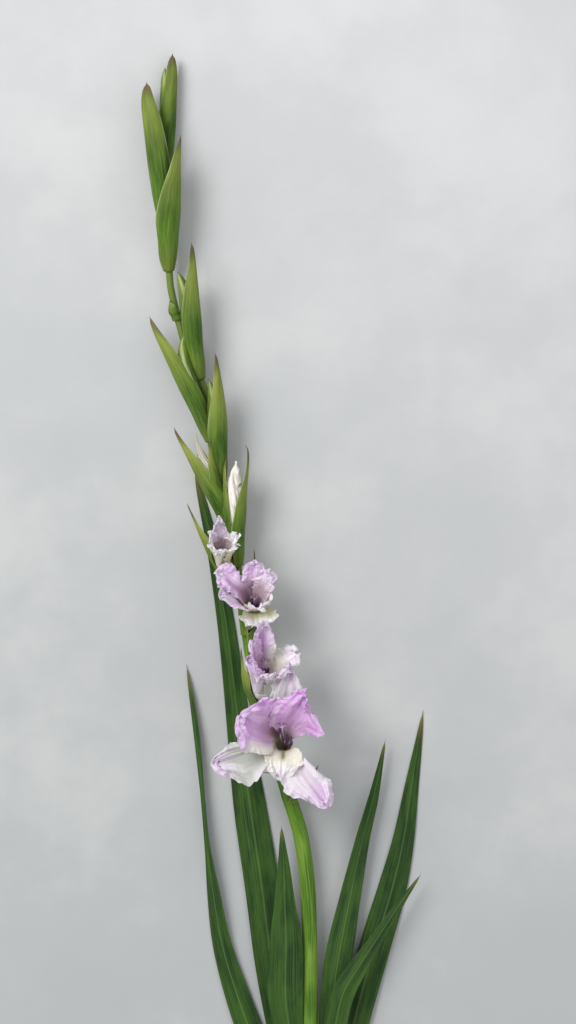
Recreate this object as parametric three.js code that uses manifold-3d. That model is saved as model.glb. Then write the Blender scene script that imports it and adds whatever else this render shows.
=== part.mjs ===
// A cut stem of gladiolus lying on a flat surface, face up, in millimetres.
// +Y runs along the stem from the cut end to the tip, +X is to the right seen from above, and +Z is up.
// The origin is the middle of the small flat spot under the leaf bases, where the stem rests.
import * as THREE from "three";
import Module from "manifold-3d";

const wasm = await Module();
wasm.setup();

// Driving dimensions
const GAP = 0.3; // clear space between neighbouring pieces
const CUT_Y = -20; // the cut end of the stem
const BASE_Z = 9.12; // height of the stem's middle at the cut end
const SHEATH_STEP = 1.35; // how much further out each layer of leaf bases lies
const SHEATH_INNER = 5.8; // inner radius of the innermost leaf base
const SHEATH_WALL = 0.8;
const BRACT_WALL = 0.8;
const TEPAL_WALL = 0.8;
const TUBE_WALL = 1.1;
const BLADE_MIDDLE = 1.3; // thickness of a leaf blade along its middle
const BLADE_EDGE = 0.7;
const RIB = 0.3; // height of the leaf's lengthwise ribs

// The flower stalk: [y, x, z, radius]
const STALK = [
  [CUT_Y, 0, BASE_Z, 5.0],
  [60, 0, BASE_Z, 5.1],
  [186, 0, BASE_Z, 5.2],
  [271, -1, 10, 5.3],
  [315, -6, 11, 5.3],
  [346, -15, 12, 5.0],
  [413, -36, 13, 4.0],
  [483, -48, 13, 3.4],
  [541, -57, 13, 3.3],
  [567, -63.4, 12.8, 3.2],
  [595, -69, 12.5, 3.0],
  [623, -71.8, 12.2, 2.9],
  [637, -77, 12, 2.9],
  [658, -86.1, 11.6, 2.7],
  [680, -92.4, 11, 2.6],
  [700, -97.3, 10.5, 2.5],
  [715, -98.9, 10, 2.4],
  [748, -102, 9, 2.1],
  [790, -100.4, 8, 1.5],
];

// Leaves, from the outermost. wrap is where the base runs round the stalk and keel is where the blade grows
// out, both in degrees from +X towards +Z. blade rows are [y, x, z, half width, twist in degrees].
const LEAVES = [
  {
    name: "leaf_1",
    layer: 2,
    keel: 180,
    wrap: [101.25, 281.25],
    base: [CUT_Y, 85],
    flat: 40,
    segments: 8,
    blade: [
      [-8, -8.9, BASE_Z, 0.6, 0],
      [20, -9.8, 8.7, 1.5, 0],
      [63, -12.6, 7.5, 4, 0],
      [119, -21, 5, 8, 0],
      [164, -36.4, 3, 9.5, 0],
      [203, -50.4, 2, 8.8, 4],
      [238, -61, 2, 7, 12],
      [273, -67, 4.1, 6, 35],
      [311, -72, 5.3, 5, 66],
      [343, -75, 4.7, 4.2, 70],
      [371, -77.7, 4.1, 4, 60],
      [406, -82, 2.8, 2.8, 48],
      [438, -87, 1.1, 0.5, 40],
    ],
  },
  {
    name: "leaf_2",
    layer: 2,
    keel: 0,
    wrap: [-76.5, 99],
    base: [CUT_Y, 95],
    flat: 20,
    segments: 6,
    blade: [
      [25, 9.1, BASE_Z, 0.8, 0],
      [77, 12.6, 8, 4, 0],
      [133, 21, 5.5, 8, 0],
      [189, 32, 3, 10.5, 0],
      [238, 45.5, 1.7, 11, 0],
      [280, 58, 1, 10, 0],
      [315, 66, 0.8, 7.5, 0],
      [350, 71.4, 0.7, 5, 0],
      [381, 76.3, 0.65, 2.6, 0],
      [405, 79.8, 0.6, 0.5, 0],
    ],
  },
  {
    name: "leaf_3",
    layer: 1,
    keel: 180,
    wrap: [82, 252],
    base: [CUT_Y, 130],
    flat: 20,
    segments: 6,
    blade: [
      [88, -7.9, BASE_Z, 0.8, 0],
      [112, -11.1, 8.2, 4, 0],
      [168, -18.2, 6, 9, 0],
      [224, -26.6, 3.6, 11.5, 0],
      [280, -33.6, 2, 12, 0],
      [336, -42, 1, 11.5, 0],
      [385, -49, 0.75, 8.8, 0],
      [420, -53.2, 0.7, 7.5, 0],
      [469, -59.5, 0.7, 6, 0],
      [518, -67.9, 0.65, 4.5, 0],
      [553, -76, 0.65, 2.8, 0],
      [577, -81.9, 0.6, 0.5, 0],
    ],
  },
  {
    name: "leaf_4",
    layer: 1,
    keel: 25,
    wrap: [-104, 79],
    base: [CUT_Y, 140],
    flat: 20,
    segments: 6,
    blade: [
      [98, 7.2, 12.1, 0.8, 25],
      [119, 9.2, 13, 3, 25],
      [150, 14, 14.5, 6, 20],
      [182, 17.5, 15, 8, 12],
      [208, 23.5, 15.5, 8, 5],
      [227, 34.5, 15.5, 6.5, 0],
      [246, 47, 15, 4.5, 0],
      [265, 59.5, 14, 3, 0],
      [291, 78, 12, 0.5, 0],
    ],
  },
  {
    name: "leaf_5",
    layer: 0,
    keel: 150,
    wrap: [113, 286],
    base: [0, 180],
    flat: 40,
    segments: 6,
    blade: [
      [134, -5.8, 12.1, 0.8, -30],
      [161, -10.3, 14.4, 6, -24],
      [202, -17, 15, 12, -4],
      [246, -16.8, 15.5, 11.2, 0],
      [271, -17.7, 16, 7.4, 0],
      [296, -18.4, 16.5, 4.4, 0],
      [325, -20, 17, 0.5, 0],
    ],
  },
  {
    name: "leaf_6",
    layer: 0,
    keel: 0,
    wrap: [-71, 110],
    base: [20, 195],
    flat: 60,
    segments: 6,
    blade: [
      [143, 6.7, 8.9, 0.8, 0],
      [165, 10.4, 9, 4.4, 0],
      [189, 13.6, 9.2, 7.6, 0],
      [231, 19.8, 8.6, 9.5, 0],
      [273, 28, 8, 7.5, 0],
      [315, 37, 8, 5, 0],
      [346, 45, 8.4, 3.5, 0],
      [385, 53, 9, 0.5, 0],
    ],
  },
];

// Bracts and buds, from the lowest flower up: [name, side, y, tip, radius, bow, lift, wrap, rise, blunt].
// side is +1 to the right and -1 to the left, y is where the bud grows out of the stalk, and tip is that of
// its outer bract. bow is how far the bud hugs the stalk and lift how far it arches up. wrap is how far the
// bract reaches round the bud from its midrib, at its base and near its tip. rise is how far up the midrib
// turns. blunt is 0 on a bud that tapers evenly and 1 on one that stays broad almost to its tip.
const BUDS = [
  ["floret_1", 1, 346, [6, 369, 32], 7.6, 6, 6, [88, 45], 8, 0],
  ["floret_2", -1, 404, [-48, 450, 28], 8, 3, 7, [88, 45], 8, 0],
  ["floret_3", 1, 448, [-39.2, 519, 23], 7.4, 5, 6, [88, 45], 8, 0],
  ["floret_4", -1, 484, [-86, 551, 20], 7.2, 4, 6, [92, 45], 14, 0],
  ["bud_5", 1, 507, [-44.8, 592, 22], 8.3, 9, 9, [92, 20], 10, 0.7],
  ["bud_6", -1, 532, [-95.2, 604, 20], 7.2, 8, 9, [108, 40], 30, 0.3],
  ["bud_7", 1, 566, [-66.5, 656, 21], 7.4, 1, 9, [120, 60], 35, 0.2],
  ["bud_8", -1, 595, [-112.4, 681.5, 17], 7, 6, 9, [120, 60], 35, 0.5],
  ["bud_9", 1, 638, [-82.8, 733, 20], 7.4, 7, 9, [125, 60], 35, 0.4],
  ["bud_10", 1, 714, [-90.3, 808, 21], 8.7, 8, 12, [130, 65], 35, 0],
  ["bud_11", -1, 746, [-114.5, 845.6, 14], 8.3, 4, 10, [130, 85], 35, 1],
  ["bud_12", 1, 781, [-96.6, 866.6, 6.8], 6.4, 3, -3.2, [125, 85], 35, 0.9],
].map(([name, side, y, tip, radius, bow, lift, wrap, rise, blunt]) => (
  { name, side, y, tip, radius, bow, lift, wrap, rise, blunt }
));

// The tip of each inner bract, or of the green bud that it covers
const INNER_TIPS = {
  floret_1: [-34, 364, 32],
  floret_2: [-33, 436, 22],
  floret_3: [-50, 498, 24],
  floret_4: [-53, 522, 27],
  bud_5: [-58, 584, 21],
  bud_6: [-68.6, 596, 29],
  bud_7: [-71, 638, 20],
  bud_8: [-87.2, 669, 19],
  bud_9: [-92.8, 712.6, 18],
  bud_10: [-92.5, 795, 20],
  bud_11: [-112, 832, 14],
  bud_12: [-101.9, 857, 7],
};
// The tips of the two buds that show their petals
const PETAL_TIPS = { bud_5: [-51.5, 580, 22], bud_6: [-80.5, 600, 20] };
// The part of the bud's length that each kind of piece covers
const SPAN = {
  outer: [0, 1],
  inner: [0.16, 1],
  closed: [0.1, 1],
};
const BRACT_TIP = 0.6; // radius of a bract's tip
const FACET = 0.93; // how much nearer a facet's middle is than its edges
const INNER_TURN = 8; // how much further up the inner bract's midrib turns
const INNER_WRAP = [78, 45]; // how far an inner bract reaches round, at its base and near its tip
const PARTED_WRAPS = { bud_5: [66, 20] }; // the same where the petals push it aside

// Open flowers. mouth is the middle of the throat, facing the way it looks, and depth how far below the
// mouth the tepals leave the tube. The tepal rows are [direction, length, leans, before, after, hood,
// ruffle, pleat], the outer whorl first: leans at LEAN_SHARES of the length, and the half widths of the
// clockwise and of the other side at WIDTH_SHARES. Directions and leans are in degrees, hood per millimetre,
// ruffle and pleat in millimetres. anthers and stigma are [right, up the flower, forward] from the mouth.
const LEAN_SHARES = [0.2, 0.5, 1];
const WIDTH_SHARES = [0.3, 0.5, 0.62, 0.75, 1];
const FLOWERS = {
  floret_1: {
    mouth: [-18.9, 385.6, 46],
    facing: [-0.06, 0.12, 1],
    throat: 8.5,
    depth: 11,
    rows: 6,
    columns: 6,
    tepals: [
      [84, 55, [38, 78, 86], [8, 11, 11.5, 11, 6], [8, 11, 12, 11, 6], 0.02, 1.2, 1.1],
      [198, 54, [44, 84, 92], [7, 9, 9.5, 9.5, 5], [13, 22, 23, 15, 8], 0.012, 1.8, 1.8],
      [305, 58, [44, 85, 96], [14, 19, 17, 12, 6], [6, 8, 10, 11.5, 6], 0.012, 1.6, 2.0],
      [150, 49, [20, 40, 52], [19, 26, 26, 22, 10], [15, 18, 20, 19, 9], 0.022, 1.7, 1.6],
      [62, 55, [20, 42, 55], [9, 17, 25, 9, 6], [15, 17, 16, 13, 6], 0.022, 2.6, 1.8],
      [270, 33, [20, 50, 90], [10, 12, 12, 10, 6], [12, 15, 15, 12, 6], 0.02, 3.0, 2.2],
    ],
    anthers: [
      [-2.2, 8.2, 1],
      [1.6, 3.4, 1],
      [5.6, 1.4, 0.5],
    ],
    stigma: [-0.3, 9.5, 7.5],
    upright: 0.6,
  },
  floret_2: {
    mouth: [-30.8, 439.5, 45],
    facing: [0.12, 0.7, 0.7],
    throat: 7.5,
    depth: 27,
    rows: 4,
    columns: 5,
    tepals: [
      [98, 54, [10, 12, 22], [7, 9, 10, 9, 5], [7, 9, 10, 9, 5], 0.09, 1.4, 0.8],
      [208, 40, [14, 14, 4], [8, 10, 11, 10, 6], [8, 10, 11, 10, 6], 0.08, 1.8, 0.8],
      [318, 39, [14, 20, 30], [8, 10, 11, 10, 6], [8, 10, 11, 10, 6], 0.06, 1.8, 0.8],
      [150, 47, [8, 8, 8], [6, 8, 9, 9, 5], [6, 8, 9, 9, 5], 0.08, 1.3, 0.6],
      [16, 40, [12, 36, 60], [7, 10, 12, 11, 7], [7, 10, 12, 11, 7], 0.03, 1.7, 0.8],
      [268, 35, [12, 14, 48], [7, 9, 9, 9, 6], [7, 9, 9, 9, 6], 0.05, 1.8, 0.6],
    ],
    anthers: [
      [-2.1, -0.6, -6.5],
      [0.1, -2.2, -5],
      [2.3, -0.6, -6.5],
    ],
    stigma: [0.2, 2.4, -1],
    upright: 4,
  },
  floret_3: {
    mouth: [-38.5, 487.5, 36],
    facing: [0.05, 0.6, 0.8],
    throat: 7.5,
    depth: 18,
    rows: 4,
    columns: 5,
    tepals: [
      [90, 37, [10, 20, 34], [9, 9, 9, 8.5, 6], [9, 9, 9, 8.5, 6], 0.04, 1.6, 0.9],
      [208, 39, [20, 40, 46], [8, 12, 13, 12, 8], [8, 12, 13, 12, 8], 0.04, 0.8, 0.7],
      [280, 24, [24, 70, 86], [9, 12, 14, 13, 8], [9, 12, 14, 13, 8], 0.03, 1.6, 0.9],
      [158, 43, [10, 44, 76], [9, 9, 10, 11, 8], [9, 9, 10, 11, 7], 0.02, 2.0, 1.1],
      [46, 35, [8, 18, 30], [7, 8, 9, 9, 6], [7, 8, 9, 8, 6], 0.05, 2.0, 1.0],
      [296, 25, [12, 22, 36], [8, 11, 12, 11, 8], [8, 11, 12, 11, 8], 0.06, 1.8, 0.7],
    ],
    anthers: [
      [-2.1, -0.6, -11],
      [0.1, -2.2, -10],
      [2.3, -0.6, -11],
    ],
    stigma: [0.2, 1.4, -8],
    upright: 4,
  },
  floret_4: {
    mouth: [-60.9, 522, 39],
    facing: [0, 0.68, 0.73],
    throat: 5,
    depth: 21,
    rows: 4,
    columns: 3,
    tepals: [
      [104, 39, [8, 10, 10], [5, 6.5, 6.5, 5, 3.5], [5, 6.5, 6, 5, 3.5], 0.1, 1.5, 0.9],
      [215, 28, [8, 12, 16], [4.5, 6, 6.5, 6, 4], [4.5, 6, 6.5, 6, 4], 0.1, 1.0, 0.4],
      [328, 29, [8, 14, 26], [4.5, 6, 6.5, 6, 4], [4.5, 6, 6.5, 6, 4], 0.08, 1.4, 0.6],
      [158, 31, [8, 12, 14], [4.5, 6, 6, 5.5, 3.5], [4.5, 6, 6, 5.5, 3.5], 0.08, 1.0, 0.4],
      [20, 31, [8, 14, 24], [4.5, 6, 6.5, 6, 4], [4.5, 6, 6.5, 6, 4], 0.08, 1.5, 0.6],
      [268, 27, [8, 14, 24], [4.5, 6, 6, 5.5, 3.5], [4.5, 6, 6, 5.5, 3.5], 0.06, 1.1, 0.4],
    ],
  },
};
const TUBE_LAP = 2; // how far the tube's rim reaches up past where the tepals leave it
const WHORL_STEP = 0.45; // how far the outer whorl leaves outside the inner one, either way from the middle
const THROAT_FLOOR = 0.68; // where the hollow of the tube ends, as a share of its length
const ROOT = 1.0; // radius of the filaments' common foot
const FILAMENT = 0.7; // radius of a filament
const ANTHER = [0.9, 2.8]; // half thickness and half length of an anther
const STYLE = 0.6;

// The bract left where a bud has broken off
const STUB = {
  side: -1,
  y: 680,
  tip: [-98, 693, 13],
  radius: 4.4,
  bow: 0,
  lift: 1,
  wrap: [100, 70],
  rise: 35,
  blunt: 0,
};

// Colours from the flower: r, g, b in sRGB
const LOOKS = {
  stalk: new THREE.MeshStandardMaterial({ color: 0x6f9a35, roughness: 0.5, metalness: 0 }),
  leaf: new THREE.MeshStandardMaterial({ color: 0x3f6a2c, roughness: 0.5, metalness: 0 }),
  bract: new THREE.MeshStandardMaterial({ color: 0x71923c, roughness: 0.55, metalness: 0 }),
  petal: new THREE.MeshStandardMaterial({ color: 0xdcbfe2, roughness: 0.6, metalness: 0 }),
  stamen: new THREE.MeshStandardMaterial({ color: 0x5a3a6a, roughness: 0.6, metalness: 0 }),
  style: new THREE.MeshStandardMaterial({ color: 0xcaa6d6, roughness: 0.6, metalness: 0 }),
};

const UP = new THREE.Vector3(0, 0, 1);
const ALONG = new THREE.Vector3(0, 1, 0);
const RIGHT = new THREE.Vector3(1, 0, 0);
const ORIGIN = new THREE.Vector3();
const vec = (values) => new THREE.Vector3(...values);
const rad = THREE.MathUtils.degToRad;
const lerp = THREE.MathUtils.lerp;
const smooth = THREE.MathUtils.smoothstep;

// A list of count + 1 even steps from low to high.
const steps = (count, low = 0, high = 1) =>
  Array.from({ length: count + 1 }, (_, i) => lerp(low, high, i / count));

// The part of a vector that is square to an axis, at length 1.
const squareTo = (v, axis) => v.clone().addScaledVector(axis, -v.dot(axis)).normalize();

// origin + a * u + b * v + c * w
function offset(origin, a, u, b = 0, v = UP, c = 0, w = UP) {
  return origin.clone().addScaledVector(u, a).addScaledVector(v, b).addScaledVector(w, c);
}

// Smooth values through rows of [key, value, value, ...], held level past both ends.
function through(rows) {
  const slopes = rows.map((row, i) => {
    const before = rows[Math.max(i - 1, 0)];
    const after = rows[Math.min(i + 1, rows.length - 1)];
    return row.map((_, k) => (after[k] - before[k]) / (after[0] - before[0]));
  });
  return (key) => {
    const x = THREE.MathUtils.clamp(key, rows[0][0], rows.at(-1)[0]);
    const i = Math.max(0, rows.findIndex((row) => row[0] >= x) - 1);
    const span = rows[i + 1][0] - rows[i][0];
    const t = (x - rows[i][0]) / span;
    const ease = t * t * (3 - 2 * t);
    const leave = t * (1 - t) ** 2 * span;
    const arrive = t * t * (t - 1) * span;
    return rows[i].slice(1).map((value, k) => {
      const rise = rows[i + 1][k + 1] - value;
      return value + rise * ease + slopes[i][k + 1] * leave + slopes[i + 1][k + 1] * arrive;
    });
  };
}

// A closed solid from points and triangles, turned to face out and kept on or above the surface.
function solidOf(points, faces) {
  points.forEach((p) => (p.z = Math.max(p.z, 0)));
  const corner = ([a, b, c]) => points[a].dot(points[b].clone().cross(points[c]));
  const volume = faces.reduce((sum, face) => sum + corner(face), 0);
  const index = (volume < 0 ? faces.map(([a, b, c]) => [a, c, b]) : faces).flat();
  const shape = new THREE.BufferGeometry().setFromPoints(points).setIndex(index);
  return new wasm.Manifold(
    new wasm.Mesh({
      numProp: 3,
      vertProperties: shape.attributes.position.array,
      triVerts: Uint32Array.from(index),
    }),
  );
}

// A plate between two grids of points that match row by row. Both faces are split along the same diagonal.
function plate(front, back) {
  const rows = front.length;
  const columns = front[0].length;
  const at = (r, c, side) => side * rows * columns + r * columns + c;
  const faces = [];
  const quad = (a, b, c, d) => faces.push([a, b, c], [a, c, d]);
  for (let r = 0; r < rows - 1; r += 1)
    for (let c = 0; c < columns - 1; c += 1) {
      quad(at(r, c, 0), at(r, c + 1, 0), at(r + 1, c + 1, 0), at(r + 1, c, 0));
      faces.push([at(r, c, 1), at(r + 1, c + 1, 1), at(r, c + 1, 1)]);
      faces.push([at(r, c, 1), at(r + 1, c, 1), at(r + 1, c + 1, 1)]);
    }
  for (let c = 0; c < columns - 1; c += 1) {
    quad(at(0, c + 1, 0), at(0, c, 0), at(0, c, 1), at(0, c + 1, 1));
    quad(at(rows - 1, c, 0), at(rows - 1, c + 1, 0), at(rows - 1, c + 1, 1), at(rows - 1, c, 1));
  }
  for (let r = 0; r < rows - 1; r += 1) {
    quad(at(r, 0, 0), at(r + 1, 0, 0), at(r + 1, 0, 1), at(r, 0, 1));
    quad(at(r + 1, columns - 1, 0), at(r, columns - 1, 0), at(r, columns - 1, 1), at(r + 1, columns - 1, 1));
  }
  return solidOf([...front.flat(), ...back.flat()], faces);
}

// Pushes a grid's border outwards, so that a clearing solid also clears the piece's edges.
function widen(grid, by) {
  if (!by) return grid;
  const push = (p, from) => p.add(p.clone().sub(from).setLength(by));
  const last = grid.length - 1;
  const end = grid[0].length - 1;
  grid[0].forEach((p, c) => push(p, grid[1][c]));
  grid[last].forEach((p, c) => push(p, grid[last - 1][c]));
  grid.forEach((row) => {
    push(row[0], row[1]);
    push(row[end], row[end - 1]);
  });
  return grid;
}

// A copy of a skin's end ring, moved on past the end by a distance.
function ringPast(rings, end, next, by) {
  const middle = (points) =>
    points.reduce((sum, p) => sum.add(p), new THREE.Vector3()).divideScalar(points.length);
  const step = middle(rings.at(end)).sub(middle(rings.at(next))).setLength(by);
  return rings.at(end).map((p) => p.clone().add(step));
}

// A solid skin over rings of points, closed by a flat fan at the first and the last ring.
function skin(path, clear = 0) {
  const rings = clear ? [ringPast(path, 0, 1, clear), ...path, ringPast(path, -1, -2, clear)] : path;
  const n = rings[0].length;
  const faces = [];
  for (let r = 0; r < rings.length - 1; r += 1)
    for (let i = 0; i < n; i += 1) {
      const [a, b] = [r * n + i, r * n + ((i + 1) % n)];
      faces.push([a, b, b + n], [a, b + n, a + n]);
    }
  const top = (rings.length - 1) * n;
  for (let i = 1; i < n - 1; i += 1) {
    faces.push([0, i + 1, i]);
    faces.push([top, top + i, top + i + 1]);
  }
  return solidOf(rings.flat(), faces);
}

// A ring of points round a middle, from two square directions.
function ring(middle, u, v, radius, sides) {
  return steps(sides - 1, 0, 2 * Math.PI * (1 - 1 / sides)).map((angle) =>
    offset(middle, radius * Math.cos(angle), u, radius * Math.sin(angle), v),
  );
}

// A round rod along a curve, with a radius for each share of its length.
function rod(curve, radius, rows, sides, clear, reference = RIGHT, span = [0, 1]) {
  const rings = steps(rows).map((t) => {
    const share = lerp(...span, t);
    const along = curve.getTangent(share);
    const u = squareTo(reference, along);
    return ring(curve.getPoint(share), u, along.clone().cross(u), radius(t) + clear, sides);
  });
  return skin(rings, clear);
}

// The stalk
const stalk = through(STALK);
const stalkPoint = (y) => {
  const [x, z] = stalk(y);
  return new THREE.Vector3(x, y, z);
};
const stalkRadius = (y) => stalk(y)[2];
const STALK_TOP = STALK.at(-1)[0];
const STALK_ROWS = 33;
const STALK_SIDES = 8;

function makeStalk(clear) {
  const rings = steps(STALK_ROWS, CUT_Y, STALK_TOP).map((y) => {
    const along = stalkPoint(y + 1).sub(stalkPoint(y - 1)).normalize();
    const u = squareTo(RIGHT, along);
    return ring(stalkPoint(y), u, along.clone().cross(u), stalkRadius(y) + clear, STALK_SIDES);
  });
  return skin(rings, clear);
}

// A leaf's base: a gutter round the stalk whose edges draw back to the keel towards its upper end.
const BASE_ROWS = 3;
const BASE_END = 0.16; // share of the wrap left at the gutter's upper end

function makeSheath(leaf, clear) {
  const inner = SHEATH_INNER + leaf.layer * SHEATH_STEP;
  const [start, end] = leaf.base;
  const level = start + leaf.flat;
  const rows = [start, ...steps(BASE_ROWS, level, end)];
  const wall = (radius) =>
    rows.map((y) => {
      const share = lerp(1, BASE_END, smooth(y, level, end) ** 0.8);
      return steps(leaf.segments).map((t) => {
        const angle = rad(lerp(leaf.keel, lerp(...leaf.wrap, t), share));
        return offset(stalkPoint(y), radius * Math.cos(angle), RIGHT, radius * Math.sin(angle), UP);
      });
    });
  return plate(widen(wall(inner + SHEATH_WALL + clear), clear), widen(wall(inner - clear), clear));
}

// A leaf's blade: a long ribbed sword, thickest along its middle.
const BLADE_ROWS = 13;
const BLADE_COLUMNS = 4;

function makeBlade(leaf, clear) {
  const path = through(leaf.blade);
  const middle = (y) => {
    const [x, z] = path(y);
    return new THREE.Vector3(x, y, z);
  };
  const face = (side) =>
    steps(BLADE_ROWS, leaf.blade[0][0], leaf.blade.at(-1)[0]).map((y) => {
      const [, , half, twist] = path(y);
      const along = middle(y + 1).sub(middle(y - 1)).normalize();
      const across = squareTo(RIGHT, along).applyAxisAngle(along, -rad(twist));
      const normal = across.clone().cross(along);
      return steps(BLADE_COLUMNS, -1, 1).map((b) => {
        const ribs = Math.min(1, half / 6) * RIB * Math.cos(2 * Math.PI * b);
        const thick = lerp(BLADE_MIDDLE, BLADE_EDGE, b * b) / 2 + clear;
        return offset(middle(y), b * half, across, ribs + side * thick, normal);
      });
    });
  return plate(widen(face(1), clear), widen(face(-1), clear));
}

const makeLeaf = (leaf) => (clear) => makeSheath(leaf, clear).add(makeBlade(leaf, clear));

// The line that a bud grows along, from the stalk to one of its tips
const outwardOf = (side, rise) => new THREE.Vector3(side * Math.cos(rad(rise)), 0, Math.sin(rad(rise)));

function budAxis(bud, tip) {
  const from = stalkPoint(bud.y);
  const outer = vec(bud.tip);
  const bend = offset(from.clone().lerp(outer, 0.5), -bud.side * bud.bow, RIGHT, bud.lift, UP);
  const lead = from.clone().lerp(bend, 2 / 3);
  return new THREE.CubicBezierCurve3(from, lead, outer.lerp(bend, 2 / 3), vec(tip));
}

// The outer bract's radius for each share of its length
function budRadius(bud) {
  const foot = (stalkRadius(bud.y) + GAP) / FACET + 0.1 + BRACT_WALL;
  return through([
    [0, foot],
    [0.1, lerp(foot, bud.radius, 0.5)],
    [0.22, bud.radius * 0.88],
    [0.42, bud.radius],
    [0.62, bud.radius * lerp(0.84, 0.95, bud.blunt)],
    [0.84, bud.radius * lerp(0.42, 0.8, bud.blunt)],
    [0.94, bud.radius * lerp(0.21, 0.5, bud.blunt)],
    [1, BRACT_TIP],
  ]);
}

// The radius left inside a number of bracts, which have flat facets
function within(radius, layers) {
  const inside = (r) => (r - BRACT_WALL) * FACET - GAP - 0.1;
  return layers ? within(inside(radius), layers - 1) : Math.max(radius, BRACT_TIP);
}

// A bract: a boat-shaped sheath round a bud's axis, with its midrib on the outward side
const BRACT_ROWS = 5;
const BRACT_COLUMNS = { outer: 6, inner: 4 };

function makeBract(kind, axis, size, outward, wrap, clear) {
  const wall = (side) =>
    steps(BRACT_ROWS, ...SPAN[kind]).map((t) => {
      const along = axis.getTangent(t);
      const out = squareTo(outward, along);
      const over = along.clone().cross(out);
      const reach = rad(lerp(...wrap, smooth(t, 0.25, 1)));
      const outer = size(t);
      const r = side > 0 ? outer + clear : Math.max(outer - BRACT_WALL - clear, outer * 0.15);
      return steps(BRACT_COLUMNS[kind], -1, 1).map((b) =>
        offset(axis.getPoint(t), r * Math.cos(b * reach), out, r * Math.sin(b * reach), over),
      );
    });
  return plate(widen(wall(1), clear), widen(wall(-1), clear));
}

function outerBract(bud) {
  const radius = budRadius(bud);
  const outward = outwardOf(bud.side, bud.rise);
  return (clear) => makeBract("outer", budAxis(bud, bud.tip), (t) => radius(t)[0], outward, bud.wrap, clear);
}

function innerBract(bud) {
  const radius = budRadius(bud);
  const size = (t) => within(radius(t)[0], 1);
  const outward = outwardOf(-bud.side, bud.rise + INNER_TURN);
  const wrap = PARTED_WRAPS[bud.name] ?? INNER_WRAP;
  return (clear) => makeBract("inner", budAxis(bud, INNER_TIPS[bud.name]), size, outward, wrap, clear);
}

// A closed flower bud: a spindle beside the stalk, inside its bracts
const CLOSED_ROWS = 6;
const CLOSED_SIDES = 8;

function closedBud(bud, tip, layers) {
  const radius = budRadius(bud);
  const [low, high] = SPAN.closed;
  const size = (t) => Math.max(within(radius(lerp(low, high, t))[0], layers) * smooth(t, -0.12, 0.14), 0.5);
  const axis = budAxis(bud, tip);
  return (clear) => rod(axis, size, CLOSED_ROWS, CLOSED_SIDES, clear, RIGHT, SPAN.closed);
}

// The frame of an open flower: its mouth, the way it faces, and the two directions across it.
function flowerFrame(flower) {
  const facing = vec(flower.facing).normalize();
  const top = squareTo(ALONG, facing);
  return { mouth: vec(flower.mouth), facing, top, side: top.clone().cross(facing) };
}

// The tube of an open flower: a cup along a curve from the stalk to just below the mouth
const TUBE_SIDES = 10;
const TUBE_FROM = 0.2; // where the tube begins, as a share of the outer bract's length
const TUBE_FOOT = 2.1; // the tube's radius there
const TUBE_TURN = 5; // least length over which the tube turns to face forward
const tepalFoot = (flower) => flower.throat * 0.72;

function tubeCurve(bud, flower) {
  const { mouth, facing } = flowerFrame(flower);
  const from = budAxis(bud, bud.tip).getPoint(TUBE_FROM);
  from.z = Math.max(from.z, stalkPoint(from.y).z + stalkRadius(from.y) + TUBE_FOOT + GAP + 0.1);
  const rim = offset(mouth, TUBE_LAP - flower.depth, facing);
  const rise = rim.clone().sub(from);
  const lead = offset(from, rise.y * 0.45, ALONG, rise.z * 0.1, UP);
  const turn = TUBE_TURN + rise.z * 0.45;
  return new THREE.CubicBezierCurve3(from, lead, offset(rim, -turn, facing), rim);
}

function makeTube(bud, flower, clear) {
  const curve = tubeCurve(bud, flower);
  const foot = tepalFoot(flower) + TUBE_WALL / 2;
  const size = through([
    [0, TUBE_FOOT],
    [0.4, 2.8],
    [0.68, lerp(2.8, foot, 0.7)],
    [0.9, foot + 0.1],
    [1, foot + 0.6],
  ]);
  const circle = (t, inset) => {
    const along = curve.getTangent(t);
    const u = squareTo(RIGHT, along);
    return ring(curve.getPoint(t), u, along.clone().cross(u), size(t)[0] - inset, TUBE_SIDES);
  };
  const outside = steps(5).map((t) => circle(t, -clear));
  const inside = steps(2, THROAT_FLOOR + clear * 0.03, 1).map((t) => circle(t, TUBE_WALL + clear));
  const hollow = [...inside.slice(0, -1), ringPast(inside, -1, -2, 1)];
  return skin(outside, clear).subtract(skin(hollow));
}

// A tepal: a ruffled blade that leaves the tube's wall and leans outwards
const FINE_STEPS = 80;
const TIP_CROWDING = 1.35; // draws a tepal's rows towards its rounded tip
const WAVES = 5.5; // half waves of the ruffle along a tepal's edge
const FOOT_LEAN = 12; // degrees that a tepal leans outwards where it leaves the tube
const FOOT_WIDTH = 0.56; // its half width there, as a share of its distance from the tube's middle
const TIP_WIDTH = 0.5; // share of a tepal's width left at its very tip
const BENT_CLEAR = 1.4; // factor on the clear space round a tepal, which thins where it bends sharply

const tepalOf = ([direction, length, leans, before, after, hood, ruffle, pleat]) => (
  { direction, length, leans, before, after, hood, ruffle, pleat }
);

// A wave between about -1 and 1 with no plain repeat
const ripple = (x, seed) =>
  0.55 * Math.sin(x + seed) + 0.3 * Math.sin(2.3 * x + 2.1 * seed) + 0.15 * Math.sin(4.1 * x + 3.7 * seed);

// How far out and how high a tepal's middle line is, at even steps of its length
function leanLine(start, depth, length, lean) {
  const line = [[start, -depth]];
  const pace = length / FINE_STEPS;
  steps(FINE_STEPS - 1).forEach((t) => {
    const [out, high] = line.at(-1);
    const angle = rad(lean(t)[0]);
    line.push([out + Math.sin(angle) * pace, high + Math.cos(angle) * pace]);
  });
  return line;
}

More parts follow.
